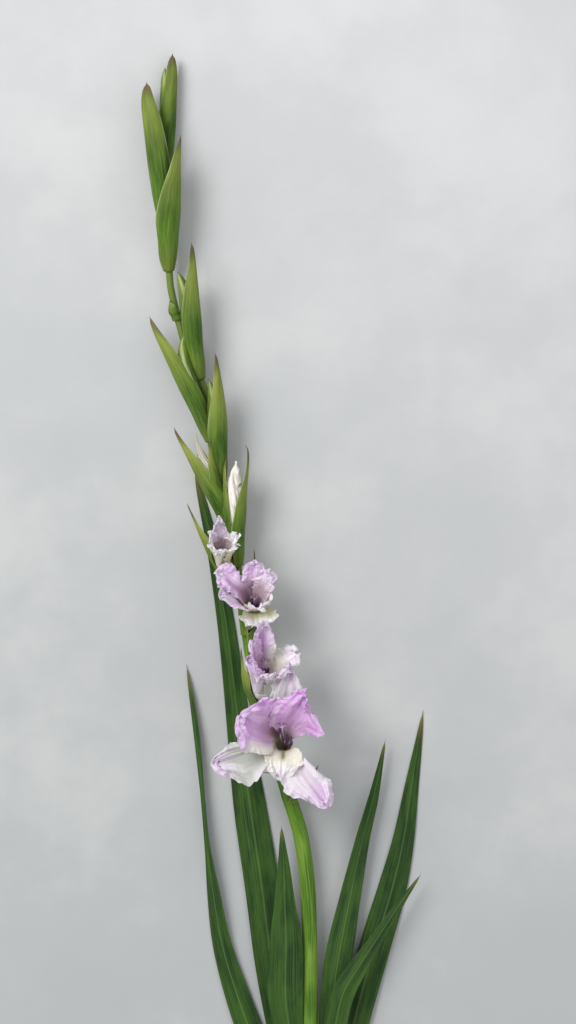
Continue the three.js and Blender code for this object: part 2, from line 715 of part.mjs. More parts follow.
// How far a tepal's surface stands in front of its middle line at a share of its length and of its width
function tepalRelief({ direction, ruffle, pleat }, t, b) {
  const edge = smooth(t, 0.3, 0.9);
  const buckle = Math.abs(b) ** 1.6 * ripple(WAVES * Math.PI * t + 1.3 * Math.sign(b), direction);
  const sway = ripple(5 * t + 2.5 * b, 2 * direction);
  const fold = ripple(6 * b + 1.2 * t, 1.7 * direction);
  return edge * (ruffle * (1.5 * buckle + 0.9 * sway) + 1.5 * pleat * fold);
}

// A tepal's lean, its two half widths and its curl, as smooth values along its length
function tepalShape(flower, tepal, start) {
  const foot = start * FOOT_WIDTH;
  const halves = WIDTH_SHARES.map((share, i) => [share, tepal.before[i], tepal.after[i]]);
  return {
    lean: through([[0, FOOT_LEAN], ...LEAN_SHARES.map((share, i) => [share, tepal.leans[i]])]),
    width: through([[0, foot, foot], ...halves]),
    curl: through([
      [0, 1 / start],
      [0.3, lerp(1 / flower.throat, tepal.hood, 0.5)],
      [0.6, tepal.hood],
      [1, tepal.hood],
    ]),
  };
}

function makeTepal(flower, tepal, whorl, clear) {
  const { mouth, facing, top, side } = flowerFrame(flower);
  const turn = rad(tepal.direction);
  const radial = offset(ORIGIN, Math.cos(turn), side, Math.sin(turn), top);
  const round = offset(ORIGIN, -Math.sin(turn), side, Math.cos(turn), top);
  const start = tepalFoot(flower) + whorl * WHORL_STEP;
  const { lean, width, curl } = tepalShape(flower, tepal, start);
  const line = leanLine(start, flower.depth, tepal.length, lean);
  const face = (lift) =>
    steps(flower.rows).map((step) => {
      const t = 1 - (1 - step) ** TIP_CROWDING;
      const [out, high] = line[Math.round(t * FINE_STEPS)];
      const angle = rad(lean(t)[0]);
      const normal = offset(ORIGIN, -Math.cos(angle), radial, Math.sin(angle), facing);
      const middle = offset(mouth, out, radial, high, facing);
      const reach = width(t).map((half) => half * (step < 1 ? 1 : TIP_WIDTH));
      const [bow] = curl(t);
      return steps(flower.columns - 1, -1, 1).map((b) => {
        const bend = b * reach[b < 0 ? 0 : 1] * bow;
        const rise = (1 - Math.cos(bend)) / bow + tepalRelief(tepal, t, b) + lift;
        return offset(middle, Math.sin(bend) / bow, round, rise, normal);
      });
    });
  const thick = TEPAL_WALL / 2 + clear * BENT_CLEAR;
  return plate(widen(face(thick), clear), widen(face(-thick), clear));
}

const WHORL_SIZE = 3; // tepals in the outer whorl, which comes first

function perianth(bud) {
  const flower = FLOWERS[bud.name];
  const tepals = flower.tepals.map(tepalOf);
  return (clear) =>
    tepals.reduce(
      (sum, tepal, i) => sum.add(makeTepal(flower, tepal, i < WHORL_SIZE ? 1 : -1, clear)),
      makeTube(bud, flower, clear),
    );
}

// The three stamens, joined where they leave the bottom of the tube
function stamens(bud) {
  const flower = FLOWERS[bud.name];
  const { mouth, facing, top, side } = flowerFrame(flower);
  const curve = tubeCurve(bud, flower);
  const along = curve.getTangent(THROAT_FLOOR + 0.03);
  const foot = offset(curve.getPoint(THROAT_FLOOR + 0.03), -0.8, squareTo(top, along));
  return (clear) => {
    const root = rod(new THREE.LineCurve3(foot, offset(foot, 3, along)), () => ROOT, 1, 5, clear);
    return flower.anthers.reduce((sum, [x, y, z], i) => {
      const end = offset(mouth, x, side, y, top, z, facing);
      const bottom = offset(foot, 1.2, along, (i - 1) * 0.7, side);
      const bend = offset(curve.getPoint(0.9), (i - 1) * 1.9, side, -1.2, top);
      const thread = new THREE.QuadraticBezierCurve3(bottom, bend, end);
      const lie = squareTo(offset(top, flower.upright, facing, 0.25 * (i - 1), side), side);
      const pod = new THREE.LineCurve3(offset(end, -ANTHER[1], lie), offset(end, ANTHER[1], lie));
      const fat = (t) => lerp(0.5, ANTHER[0], Math.sqrt(Math.max(Math.sin(Math.PI * t), 0)));
      return sum.add(rod(thread, () => FILAMENT, 2, 4, clear)).add(rod(pod, fat, 2, 5, clear, side));
    }, root);
  };
}

// The style, which ends in three spreading lobes
function style(bud) {
  const flower = FLOWERS[bud.name];
  const { mouth, facing, top, side } = flowerFrame(flower);
  const curve = tubeCurve(bud, flower);
  const along = curve.getTangent(THROAT_FLOOR + 0.03);
  const foot = offset(curve.getPoint(THROAT_FLOOR + 0.03), 1.4, squareTo(top, along));
  const [x, y, z] = flower.stigma;
  const end = offset(mouth, x, side, y, top, z, facing);
  const thread = new THREE.QuadraticBezierCurve3(foot, offset(curve.getPoint(0.85), 2.2, top), end);
  const spread = flower.throat * 0.42;
  const lobes = [30, 90, 150].map((angle) => {
    const away = offset(ORIGIN, Math.cos(rad(angle)), side, Math.sin(rad(angle)), top);
    const outer = offset(end, spread, away, 1.5, facing);
    return new THREE.LineCurve3(offset(end, -0.5, facing), outer);
  });
  return (clear) =>
    lobes.reduce(
      (sum, lobe) => sum.add(rod(lobe, (t) => 0.45 + 0.5 * t, 1, 5, clear, facing)),
      rod(thread, () => STYLE, 4, 4, clear),
    );
}

// Adds a piece, cut clear of the pieces before it. What a cut would leave loose is dropped.
const plant = new THREE.Group();
const placed = [];

function meet(a, b) {
  const [p, q] = [a.boundingBox(), b.boundingBox()];
  return p.min.every((low, k) => low < q.max[k] && q.min[k] < p.max[k]);
}

function grow(name, look, make) {
  let solid = make(0);
  for (const clearance of placed) if (meet(solid, clearance)) solid = solid.subtract(clearance);
  const pieces = solid.simplify(0.06).decompose().sort((a, b) => b.volume() - a.volume());
  placed.push(make(GAP));
  const { numProp, vertProperties, triVerts } = pieces[0].getMesh();
  const shape = new THREE.BufferGeometry();
  shape.setAttribute("position", new THREE.BufferAttribute(vertProperties, numProp));
  shape.setIndex(new THREE.BufferAttribute(triVerts, 1));
  shape.computeVertexNormals();
  const mesh = new THREE.Mesh(shape, look);
  mesh.name = name;
  plant.add(mesh);
}

grow("scape", LOOKS.stalk, makeStalk);
LEAVES.forEach((leaf) => grow(leaf.name, LOOKS.leaf, makeLeaf(leaf)));
BUDS.forEach((bud) => {
  if (FLOWERS[bud.name]) grow(`${bud.name}_perianth`, LOOKS.petal, perianth(bud));
  if (FLOWERS[bud.name]?.stigma) {
    grow(`${bud.name}_stamens`, LOOKS.stamen, stamens(bud));
    grow(`${bud.name}_style`, LOOKS.style, style(bud));
  }
  grow(`${bud.name}_outer_bract`, LOOKS.bract, outerBract(bud));
  const closed = !FLOWERS[bud.name] && !PETAL_TIPS[bud.name];
  const inner = closed ? closedBud(bud, INNER_TIPS[bud.name], 1) : innerBract(bud);
  grow(`${bud.name}_inner_bract`, LOOKS.bract, inner);
  if (PETAL_TIPS[bud.name]) grow(`${bud.name}_petals`, LOOKS.petal, closedBud(bud, PETAL_TIPS[bud.name], 2));
});
grow("stub_bract", LOOKS.bract, outerBract(STUB));

export default plant;
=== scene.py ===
# The looks of a cut gladiolus stem that lies on a pale surface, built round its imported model.
# Sizes are in millimetres and angles in degrees. They become metres and radians when shapes are made.
import math

import bpy
import numpy as np
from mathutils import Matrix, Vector


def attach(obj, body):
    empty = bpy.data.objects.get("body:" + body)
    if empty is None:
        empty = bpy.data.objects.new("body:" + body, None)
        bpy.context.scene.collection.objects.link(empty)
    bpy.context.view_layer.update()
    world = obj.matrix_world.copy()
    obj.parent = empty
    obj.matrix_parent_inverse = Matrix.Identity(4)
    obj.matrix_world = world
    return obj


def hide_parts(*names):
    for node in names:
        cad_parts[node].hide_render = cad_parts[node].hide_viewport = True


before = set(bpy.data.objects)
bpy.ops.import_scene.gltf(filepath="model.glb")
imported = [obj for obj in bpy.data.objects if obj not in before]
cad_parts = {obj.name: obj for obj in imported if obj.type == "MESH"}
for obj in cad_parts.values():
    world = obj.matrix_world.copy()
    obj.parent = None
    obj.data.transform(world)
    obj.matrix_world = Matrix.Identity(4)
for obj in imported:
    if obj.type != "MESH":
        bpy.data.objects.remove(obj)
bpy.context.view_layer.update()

MILLIMETRE = 0.001
FLOOR_CLEAR = 0.02  # least height of any point above the surface

# Camera: it looks straight down, with the tip of the stem at the top of the picture
PICTURE_HEIGHT = 1024  # pixels
MM_PER_PIXEL = 0.7
CAMERA_OVER = (-15.4, 544.6)  # the point under the camera
CAMERA_LEVEL = 15  # height of the level at which the picture is to scale
CAMERA_AWAY = 2500  # distance to that level
CAMERA_SIGHT = 20  # metres

# Surface and light, in metres and watts
FLOOR_HALF = 4.0
LIGHTS_AIM = (-0.02, 0.42, 0.0)
KEY_LIGHT = dict(place=(-1.4, 1.5, 1.8), size=1.5, power=42)
FILL_LIGHT = dict(place=(1.5, -0.4, 1.8), size=2.0, power=6)
SKY = (0.95, 0.97, 1.0, 1.0)
SKY_STRENGTH = 0.56

# The stem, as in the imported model
GAP = 0.3
SLACK = 0.1
CUT_Y = -20
BASE_Z = 9.12
SHEATH_STEP = 1.35
SHEATH_INNER = 5.8
SHEATH_WALL = 0.8
BRACT_WALL = 0.8
BRACT_TIP = 0.6
FACET = 0.93  # how much nearer the middle of a packed facet is than its edges
INNER_TURN = 8
INNER_WRAP = (78, 45)
PARTED_WRAPS = {"bud_5": (66, 20)}

# The flower stalk: (y, x, z, radius)
STALK = [
    (CUT_Y, 0, BASE_Z, 5.0), (60, 0, BASE_Z, 5.1), (186, 0, BASE_Z, 5.2), (271, -1, 10, 5.3),
    (315, -6, 11, 5.3), (346, -15, 12, 5.0), (413, -36, 13, 4.0), (483, -48, 13, 3.4),
    (541, -57, 13, 3.3), (567, -63.4, 12.8, 3.2), (595, -69, 12.5, 3.0), (623, -71.8, 12.2, 2.9),
    (637, -77, 12, 2.9), (658, -86.1, 11.6, 2.7), (680, -92.4, 11, 2.6), (700, -97.3, 10.5, 2.5),
    (715, -98.9, 10, 2.4), (748, -102, 9, 2.1), (790, -100.4, 8, 1.5),
]

# Leaves, from the outermost: layer, keel, wrap, base, flat, and rows of (y, x, z, half width, twist)
LEAVES = {
    "leaf_1": dict(
        layer=2, keel=180, wrap=(101.25, 281.25), base=(CUT_Y, 85), flat=40,
        blade=[
            (-8, -8.9, BASE_Z, 0.6, 0), (20, -9.8, 8.7, 1.5, 0), (63, -12.6, 7.5, 4, 0),
            (119, -21, 5, 8, 0), (164, -36.4, 3, 9.5, 0), (203, -50.4, 2, 8.8, 4), (238, -61, 2, 7, 12),
            (273, -67, 4.1, 6, 35), (311, -72, 5.3, 5, 66), (343, -75, 4.7, 4.2, 70),
            (371, -77.7, 4.1, 4, 60), (406, -82, 2.8, 2.8, 48), (438, -87, 1.1, 0.5, 40),
        ],
    ),
    "leaf_2": dict(
        layer=2, keel=0, wrap=(-76.5, 99), base=(CUT_Y, 95), flat=20,
        blade=[
            (25, 9.1, BASE_Z, 0.8, 0), (77, 12.6, 8, 4, 0), (133, 21, 5.5, 8, 0), (189, 32, 3, 10.5, 0),
            (238, 45.5, 1.7, 11, 0), (280, 58, 1, 10, 0), (315, 66, 0.8, 7.5, 0),
            (350, 71.4, 0.7, 5, 0), (381, 76.3, 0.65, 2.6, 0), (405, 79.8, 0.6, 0.5, 0),
        ],
    ),
    "leaf_3": dict(
        layer=1, keel=180, wrap=(82, 252), base=(CUT_Y, 130), flat=20,
        blade=[
            (88, -7.9, BASE_Z, 0.8, 0), (112, -11.1, 8.2, 4, 0), (168, -18.2, 6, 9, 0),
            (224, -26.6, 3.6, 11.5, 0), (280, -33.6, 2, 12, 0), (336, -42, 1, 11.5, 0),
            (385, -49, 0.75, 8.8, 0), (420, -53.2, 0.7, 7.5, 0), (469, -59.5, 0.7, 6, 0),
            (518, -67.9, 0.65, 4.5, 0), (553, -76, 0.65, 2.8, 0), (577, -81.9, 0.6, 0.5, 0),
        ],
    ),
    "leaf_4": dict(
        layer=1, keel=25, wrap=(-104, 79), base=(CUT_Y, 140), flat=20,
        blade=[
            (98, 7.2, 12.1, 0.8, 25), (119, 9.2, 13, 3, 25), (150, 14, 14.5, 6, 20),
            (182, 17.5, 15, 8, 12), (208, 23.5, 15.5, 8, 5), (227, 34.5, 15.5, 6.5, 0),
            (246, 47, 15, 4.5, 0), (265, 59.5, 14, 3, 0), (291, 78, 12, 0.5, 0),
        ],
    ),
    "leaf_5": dict(
        layer=0, keel=150, wrap=(113, 286), base=(0, 180), flat=40,
        blade=[
            (134, -5.8, 12.1, 0.8, -30), (161, -10.3, 14.4, 6, -24), (202, -17, 15, 12, -4),
            (246, -16.8, 15.5, 11.2, 0), (271, -17.7, 16, 7.4, 0), (296, -18.4, 16.5, 4.4, 0),
            (325, -20, 17, 0.5, 0),
        ],
    ),
    "leaf_6": dict(
        layer=0, keel=0, wrap=(-71, 110), base=(20, 195), flat=60,
        blade=[
            (143, 6.7, 8.9, 0.8, 0), (165, 10.4, 9, 4.4, 0), (189, 13.6, 9.2, 7.6, 0),
            (231, 19.8, 8.6, 9.5, 0), (273, 28, 8, 7.5, 0), (315, 37, 8, 5, 0), (346, 45, 8.4, 3.5, 0),
            (385, 53, 9, 0.5, 0),
        ],
    ),
}

# Bracts and buds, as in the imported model
BUD_KEYS = ("name", "side", "y", "tip", "inner_tip", "radius", "bow", "lift", "wrap", "rise", "blunt")
BUD_ROWS = [
    ("floret_1", 1, 346, (6, 369, 32), (-34, 364, 32), 7.6, 6, 6, (88, 45), 8, 0),
    ("floret_2", -1, 404, (-48, 450, 28), (-33, 436, 22), 8, 3, 7, (88, 45), 8, 0),
    ("floret_3", 1, 448, (-39.2, 519, 23), (-50, 498, 24), 7.4, 5, 6, (88, 45), 8, 0),
    ("floret_4", -1, 484, (-86, 551, 20), (-53, 522, 27), 7.2, 4, 6, (92, 45), 14, 0),
    ("bud_5", 1, 507, (-44.8, 592, 22), (-58, 584, 21), 8.3, 9, 9, (92, 20), 10, 0.7),
    ("bud_6", -1, 532, (-95.2, 604, 20), (-68.6, 596, 29), 7.2, 8, 9, (108, 40), 30, 0.3),
    ("bud_7", 1, 566, (-66.5, 656, 21), (-71, 638, 20), 7.4, 1, 9, (120, 60), 35, 0.2),
    ("bud_8", -1, 595, (-112.4, 681.5, 17), (-87.2, 669, 19), 7, 6, 9, (120, 60), 35, 0.5),
    ("bud_9", 1, 638, (-82.8, 733, 20), (-92.8, 712.6, 18), 7.4, 7, 9, (125, 60), 35, 0.4),
    ("bud_10", 1, 714, (-90.3, 808, 21), (-92.5, 795, 20), 8.7, 8, 12, (130, 65), 35, 0),
    ("bud_11", -1, 746, (-114.5, 845.6, 14), (-112, 832, 14), 8.3, 4, 10, (130, 85), 35, 1),
    ("bud_12", 1, 781, (-96.6, 866.6, 6.8), (-101.9, 857, 7), 6.4, 3, -3.2, (125, 85), 35, 0.9),
]
BUDS = [dict(zip(BUD_KEYS, row)) for row in BUD_ROWS]
STUB = dict(zip(BUD_KEYS, ("stub", -1, 680, (-98, 693, 13), None, 4.4, 0, 1, (100, 70), 35, 0)))
PETAL_TIPS = {"bud_5": (-51.5, 580, 22), "bud_6": (-80.5, 600, 20)}
SPAN = {"outer": (0, 1), "inner": (0.16, 1), "closed": (0.1, 1)}  # the stretch of its axis that each takes
BUD_PROFILE = [(0.22, 0.88, 0.88), (0.42, 1, 1), (0.62, 0.84, 0.95), (0.84, 0.42, 0.8), (0.94, 0.21, 0.5)]

# Open flowers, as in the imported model. Each tepal has its leans at LEAN_SHARES of its length, and the half
# widths of its clockwise and of its other side at WIDTH_SHARES. None stands for a side like the first.
TEPAL_KEYS = ("direction", "length", "leans", "before", "after", "hood", "ruffle", "pleat")
LEAN_SHARES = (0.2, 0.5, 1)
WIDTH_SHARES = (0.3, 0.5, 0.62, 0.75, 1)
FOOT_LEAN = 12
FOOT_WIDTH = 0.56
WHORL_SIZE = 3
FLOWERS = {
    "floret_1": dict(
        mouth=(-18.9, 385.6, 46), facing=(-0.06, 0.12, 1), throat=8.5, depth=11,
        tepals=[
            (84, 55, (38, 78, 86), (8, 11, 11.5, 11, 6), (8, 11, 12, 11, 6), 0.02, 1.2, 1.1),
            (198, 54, (44, 84, 92), (7, 9, 9.5, 9.5, 5), (13, 22, 23, 15, 8), 0.012, 1.8, 1.8),
            (305, 58, (44, 85, 96), (14, 19, 17, 12, 6), (6, 8, 10, 11.5, 6), 0.012, 1.6, 2.0),
            (150, 49, (20, 40, 52), (19, 26, 26, 22, 10), (15, 18, 20, 19, 9), 0.022, 1.7, 1.6),
            (62, 55, (20, 42, 55), (9, 17, 25, 9, 6), (15, 17, 16, 13, 6), 0.022, 2.6, 1.8),
            (270, 33, (20, 50, 90), (10, 12, 12, 10, 6), (12, 15, 15, 12, 6), 0.02, 3.0, 2.2),
        ],
        anthers=[(-2.2, 8.2, 1), (1.6, 3.4, 1), (5.6, 1.4, 0.5)],
        stigma=(-0.3, 9.5, 7.5),
        upright=0.6,
    ),
    "floret_2": dict(
        mouth=(-30.8, 439.5, 45), facing=(0.12, 0.7, 0.7), throat=7.5, depth=27,
        tepals=[
            (98, 54, (10, 12, 22), (7, 9, 10, 9, 5), None, 0.09, 1.4, 0.8),
            (208, 40, (14, 14, 4), (8, 10, 11, 10, 6), None, 0.08, 1.8, 0.8),
            (318, 39, (14, 20, 30), (8, 10, 11, 10, 6), None, 0.06, 1.8, 0.8),
            (150, 47, (8, 8, 8), (6, 8, 9, 9, 5), None, 0.08, 1.3, 0.6),
            (16, 40, (12, 36, 60), (7, 10, 12, 11, 7), None, 0.03, 1.7, 0.8),
            (268, 35, (12, 14, 48), (7, 9, 9, 9, 6), None, 0.05, 1.8, 0.6),
        ],
        anthers=[(-2.1, -0.6, -6.5), (0.1, -2.2, -5), (2.3, -0.6, -6.5)],
        stigma=(0.2, 2.4, -1),
        upright=4,
    ),
    "floret_3": dict(
        mouth=(-38.5, 487.5, 36), facing=(0.05, 0.6, 0.8), throat=7.5, depth=18,
        tepals=[
            (90, 37, (10, 20, 34), (9, 9, 9, 8.5, 6), None, 0.04, 1.6, 0.9),
            (208, 39, (20, 40, 46), (8, 12, 13, 12, 8), None, 0.04, 0.8, 0.7),
            (280, 24, (24, 70, 86), (9, 12, 14, 13, 8), None, 0.03, 1.6, 0.9),
            (158, 43, (10, 44, 76), (9, 9, 10, 11, 8), (9, 9, 10, 11, 7), 0.02, 2.0, 1.1),
            (46, 35, (8, 18, 30), (7, 8, 9, 9, 6), (7, 8, 9, 8, 6), 0.05, 2.0, 1.0),
            (296, 25, (12, 22, 36), (8, 11, 12, 11, 8), None, 0.06, 1.8, 0.7),
        ],
        anthers=[(-2.1, -0.6, -11), (0.1, -2.2, -10), (2.3, -0.6, -11)],
        stigma=(0.2, 1.4, -8),
        upright=4,
    ),
    "floret_4": dict(
        mouth=(-60.9, 522, 39), facing=(0, 0.68, 0.73), throat=5, depth=21,
        tepals=[
            (104, 39, (8, 10, 10), (5, 6.5, 6.5, 5, 3.5), (5, 6.5, 6, 5, 3.5), 0.1, 1.5, 0.9),
            (215, 28, (8, 12, 16), (4.5, 6, 6.5, 6, 4), None, 0.1, 1.0, 0.4),
            (328, 29, (8, 14, 26), (4.5, 6, 6.5, 6, 4), None, 0.08, 1.4, 0.6),
            (158, 31, (8, 12, 14), (4.5, 6, 6, 5.5, 3.5), None, 0.08, 1.0, 0.4),
            (20, 31, (8, 14, 24), (4.5, 6, 6.5, 6, 4), None, 0.08, 1.5, 0.6),
            (268, 27, (8, 14, 24), (4.5, 6, 6, 5.5, 3.5), None, 0.06, 1.1, 0.4),
        ],
    ),
}
ANTHER_HALF = 2.8
TUBE_LAP = 2
WHORL_STEP = 0.45
THROAT_FLOOR = 0.68
THREADS_FROM = THROAT_FLOOR + 0.03
STAMENS_BELOW = 0.8  # the foot of the stamens, below the middle of the throat's bottom
STYLE_ABOVE = 1.4  # the foot of the style, above it
TUBE_FROM = 0.2
TUBE_FOOT = 2.1
TUBE_WALL = 1.1
TUBE_TURN = 5
WAVES = 5.5

# The meshes: rows along each shape, and points across or round it
SCAPE_GRID = (480, 36)
SHEATH_GRID = (60, 61)
BLADE_GRID = (110, 57)
BRACT_GRID = (60, 41)
CLOSED_BUD_GRID = (80, 64)
FURLED_GRID = (130, 110)
TUBE_GRID = (36, 14, 48)  # rows outside, rows inside, points round
TEPAL_GRID = (78, 45)
FILAMENT_GRID = (26, 12)
ANTHER_GRID = (30, 24)
STYLE_GRID = (34, 12)
LOBE_GRID = (24, 20)
TIP_CROWDING = 1.25  # draws a tepal's rows towards its tip

# How finely a tepal's line and a bract's parted margin are worked out
LEAN_STEPS = 399
PARTED_STEPS = 60  # steps across half a bract at which its margin may stop
PARTED_REACH = 4  # rows on each side that a bract's margin draws back with
PARTED_BLUR = 3
PARTED_LEAST = 0.05
CUP_FROM = 0.45  # the share of a flower's tube from which bracts part round it
CUP_BALLS = 16

# Small forms and finishes that only the dressed stem has
CUT_HOLLOW = 0.25
CUP_CLEAR = 0.9  # between a bract's margin and the flower's cup
CLOSED_LAP = 0.06  # how far the lapped edge of a closed bud stands out, as a share of its radius
DRY_FROM = {"outer": 0.88, "inner": 0.9}  # the shares of a bract's length where its tip dries
UNRIPE = {"bud_5": 0.0, "bud_6": 0.55}  # how green the ends of the furled petals are
GRAIN_LENGTH = 300  # the length of leaf that the grain of its colour takes as 1
BUMP_DEPTH = 0.0003  # metres

UP = np.array((0.0, 0.0, 1.0))
ALONG = np.array((0.0, 1.0, 0.0))
RIGHT = np.array((1.0, 0.0, 0.0))


# Small helpers


def unit(v):
    """Vectors at length 1, along their last axis."""
    return v / np.linalg.norm(v, axis=-1, keepdims=True)


def square_to(v, axis):
    """The part of v that is square to an axis, at length 1."""
    return unit(v - axis * np.sum(v * axis, axis=-1, keepdims=True))


def smooth(x, low, high):
    t = np.clip((x - low) / (high - low), 0, 1)
    return t * t * (3 - 2 * t)


def fade(x, low, high):
    return 1 - smooth(x, low, high)


def lerp(a, b, t):
    return a + (b - a) * t


def ripple(x, seed):
    """A wave between about -1 and 1 with no plain repeat."""
    return 0.55 * np.sin(x + seed) + 0.3 * np.sin(2.3 * x + 2.1 * seed) + 0.15 * np.sin(4.1 * x + 3.7 * seed)


def through(rows):
    """Smooth values through rows of (key, value, ...), held level past both ends."""
    table = np.array(rows, float)
    keys, values = table[:, 0], table[:, 1:]
    index = np.arange(len(keys))
    before = np.maximum(index - 1, 0)
    after = np.minimum(index + 1, len(keys) - 1)
    slopes = (values[after] - values[before]) / (keys[after] - keys[before])[:, None]

    def at(key):
        x = np.clip(np.asarray(key, float), keys[0], keys[-1])
        i = np.clip(np.searchsorted(keys, x) - 1, 0, len(keys) - 2)
        span = (keys[i + 1] - keys[i])[..., None]
        t = (x - keys[i])[..., None] / span
        ease = t * t * (3 - 2 * t)
        rise = values[i + 1] - values[i]
        leave = slopes[i] * t * (1 - t) ** 2
        arrive = slopes[i + 1] * t * t * (t - 1)
        found = values[i] + rise * ease + (leave + arrive) * span
        return found[..., 0] if found.shape[-1] == 1 else found

    return at


def bezier(points):
    """A curve through its leading points: its places and directions at shares of its length."""

    def at(t):
        t = np.asarray(t, float)[..., None]
        ends = [np.array(point, float) for point in points]
        while len(ends) > 2:
            ends = [lerp(a, b, t) for a, b in zip(ends, ends[1:])]
        return lerp(*ends, t), unit(ends[1] - ends[0])

    return at


def turned(v, axis, angle):
    """v turned about an axis by an angle in radians."""
    c, s = np.cos(angle)[..., None], np.sin(angle)[..., None]
    along = np.sum(v * axis, axis=-1, keepdims=True)
    return v * c + np.cross(axis, v) * s + axis * along * (1 - c)


def swung(first, second, degrees):
    """A direction turned from the first of two square ones towards the second."""
    turn = math.radians(degrees)
    return math.cos(turn) * first + math.sin(turn) * second


def vectors(*values):
    """Several arrays of numbers as one array of vectors."""
    return np.stack(np.broadcast_arrays(*values), -1).astype(float)


def column(low, high, count):
    return np.linspace(low, high, count)[:, None]


def row(low, high, count):
    return np.linspace(low, high, count)[None, :]


def full_turn(count):
    return np.linspace(0, 2 * np.pi, count, endpoint=False)[None, :]


def bell(x):
    """1 at 0, and falling away on both sides."""
    return np.exp(-(x**2))


def point_on(path, y):
    """The point at y of a path through rows of (y, x, z, ...)."""
    found = path(y)
    return vectors(found[..., 0], y, found[..., 1])


def heading_on(path, y):
    return unit(point_on(path, y + 1) - point_on(path, y - 1))


def spine_along(place, along, reference=RIGHT):
    """Places of a curve with two directions across it at each, square to each other."""
    u = square_to(reference, along)
    return place, u, np.cross(along, u)


def around(spine, turn):
    """Directions at turns round each place of a curve."""
    return np.cos(turn)[..., None] * spine[1] + np.sin(turn)[..., None] * spine[2]


def wrapped(spine, radius, turn):
    """Points at a radius and a turn round each place of a curve."""
    return spine[0] + np.asarray(radius)[..., None] * around(spine, turn)


# Meshes: a part is its points, its faces by number of corners, and its marks


def outward(points, faces):
    """Turns the faces over if they look inwards."""
    volume = 0.0
    for group in faces:
        corner = points[group]
        for k in range(1, group.shape[1] - 1):
            volume += np.sum(corner[:, 0] * np.cross(corner[:, k], corner[:, k + 1]))
    return faces if volume > 0 else [group[:, ::-1] for group in faces]


def part(points, faces, marks):
    points[:, 2] = np.maximum(points[:, 2], FLOOR_CLEAR)
    return dict(points=points, faces=outward(points, faces), marks=marks)


def quads(first, after):
    """Faces between neighbouring lines of a grid's points and the lines after them."""
    return np.stack([first[:-1], after[:-1], after[1:], first[1:]], -1).reshape(-1, 4)


def plate(front, back, marks):
    """A thin plate between two grids of points, closed round its rim. A mark is one grid or one a side."""
    rows, columns = front.shape[:2]
    count = rows * columns
    index = np.arange(count).reshape(rows, columns)
    face = quads(index[:, :-1], index[:, 1:])
    rim = np.concatenate([index[0, :-1], index[:-1, -1], index[-1, :0:-1], index[:0:-1, 0]])
    after = np.roll(rim, -1)
    sides = np.stack([after, rim, rim + count, after + count], -1)
    faces = np.concatenate([face, face[:, ::-1] + count, sides])
    points = np.concatenate([front.reshape(-1, 3), back.reshape(-1, 3)])
    both = {}
    for name, grid in marks.items():
        pair = grid if isinstance(grid, tuple) else (grid, grid)
        both[name] = np.concatenate([side.reshape(-1, 3) for side in pair])
    return part(points, [faces], both)


def pipe(rings, marks):
    """A closed skin over rings of points, with a fan of triangles at each end."""
    rows, sides = rings.shape[:2]
    count = rows * sides
    index = np.arange(count).reshape(rows, sides)
    after = np.roll(index, -1, axis=1)
    first = np.stack([after[0], index[0], np.full(sides, count)], -1)
    last = np.stack([index[-1], after[-1], np.full(sides, count + 1)], -1)
    middles = [rings[0].mean(0), rings[-1].mean(0)]
    points = np.concatenate([rings.reshape(-1, 3), middles])
    found = {}
    for name, grid in marks.items():
        found[name] = np.concatenate([grid.reshape(-1, 3), [grid[0].mean(0), grid[-1].mean(0)]])
    return part(points, [quads(index, after), np.concatenate([first, last])], found)


def added(name, data):
    """A new object in the scene."""
    made = bpy.data.objects.new(name, data)
    bpy.context.collection.objects.link(made)
    return made


def piece(node, parts, slot):
    """One object from its parts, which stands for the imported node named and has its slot's finish."""
    name = f"{node}_fine"
    mesh = bpy.data.meshes.new(name)
    start = 0
    faces = []
    for item in parts:
        for group in item["faces"]:
            faces += (group + start).tolist()
        start += len(item["points"])
    points = np.concatenate([item["points"] for item in parts]) * MILLIMETRE
    mesh.from_pydata(points.tolist(), [], faces)
    for mark in parts[0]["marks"]:
        values = np.concatenate([item["marks"][mark] for item in parts])
        attribute = mesh.attributes.new(mark, "FLOAT_VECTOR", "POINT")
        attribute.data.foreach_set("vector", values.astype(np.float32).ravel())
    mesh.materials.append(FINISHES[slot])
    mesh.shade_smooth()
    made = added(name, mesh)
    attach(made, "root")
    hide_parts(node)


def rod(curve, grid, skin, reference=RIGHT, span=(0, 1), seed=0.0):
    """A round rod. Its skin gives its radius and tints for shares of its length and angles round it."""
    t, angle = column(0, 1, grid[0]), full_turn(grid[1])
    radius, tints = skin(t, angle)
    spine = spine_along(*curve(lerp(*span, t)), reference)
    whole = np.zeros(grid)
    marks = dict(place=vectors(angle / np.pi - 1, t, seed), tints=vectors(*[tint + whole for tint in tints]))
    return pipe(wrapped(spine, radius, angle), marks)


# Node materials


def hex_colour(code):
    """A colour's linear values from its sRGB code."""
    parts = [int(code[i : i + 2], 16) / 255 for i in (1, 3, 5)]
    linear = [p / 12.92 if p <= 0.04045 else ((p + 0.055) / 1.055) ** 2.4 for p in parts]
    return (*linear, 1.0)


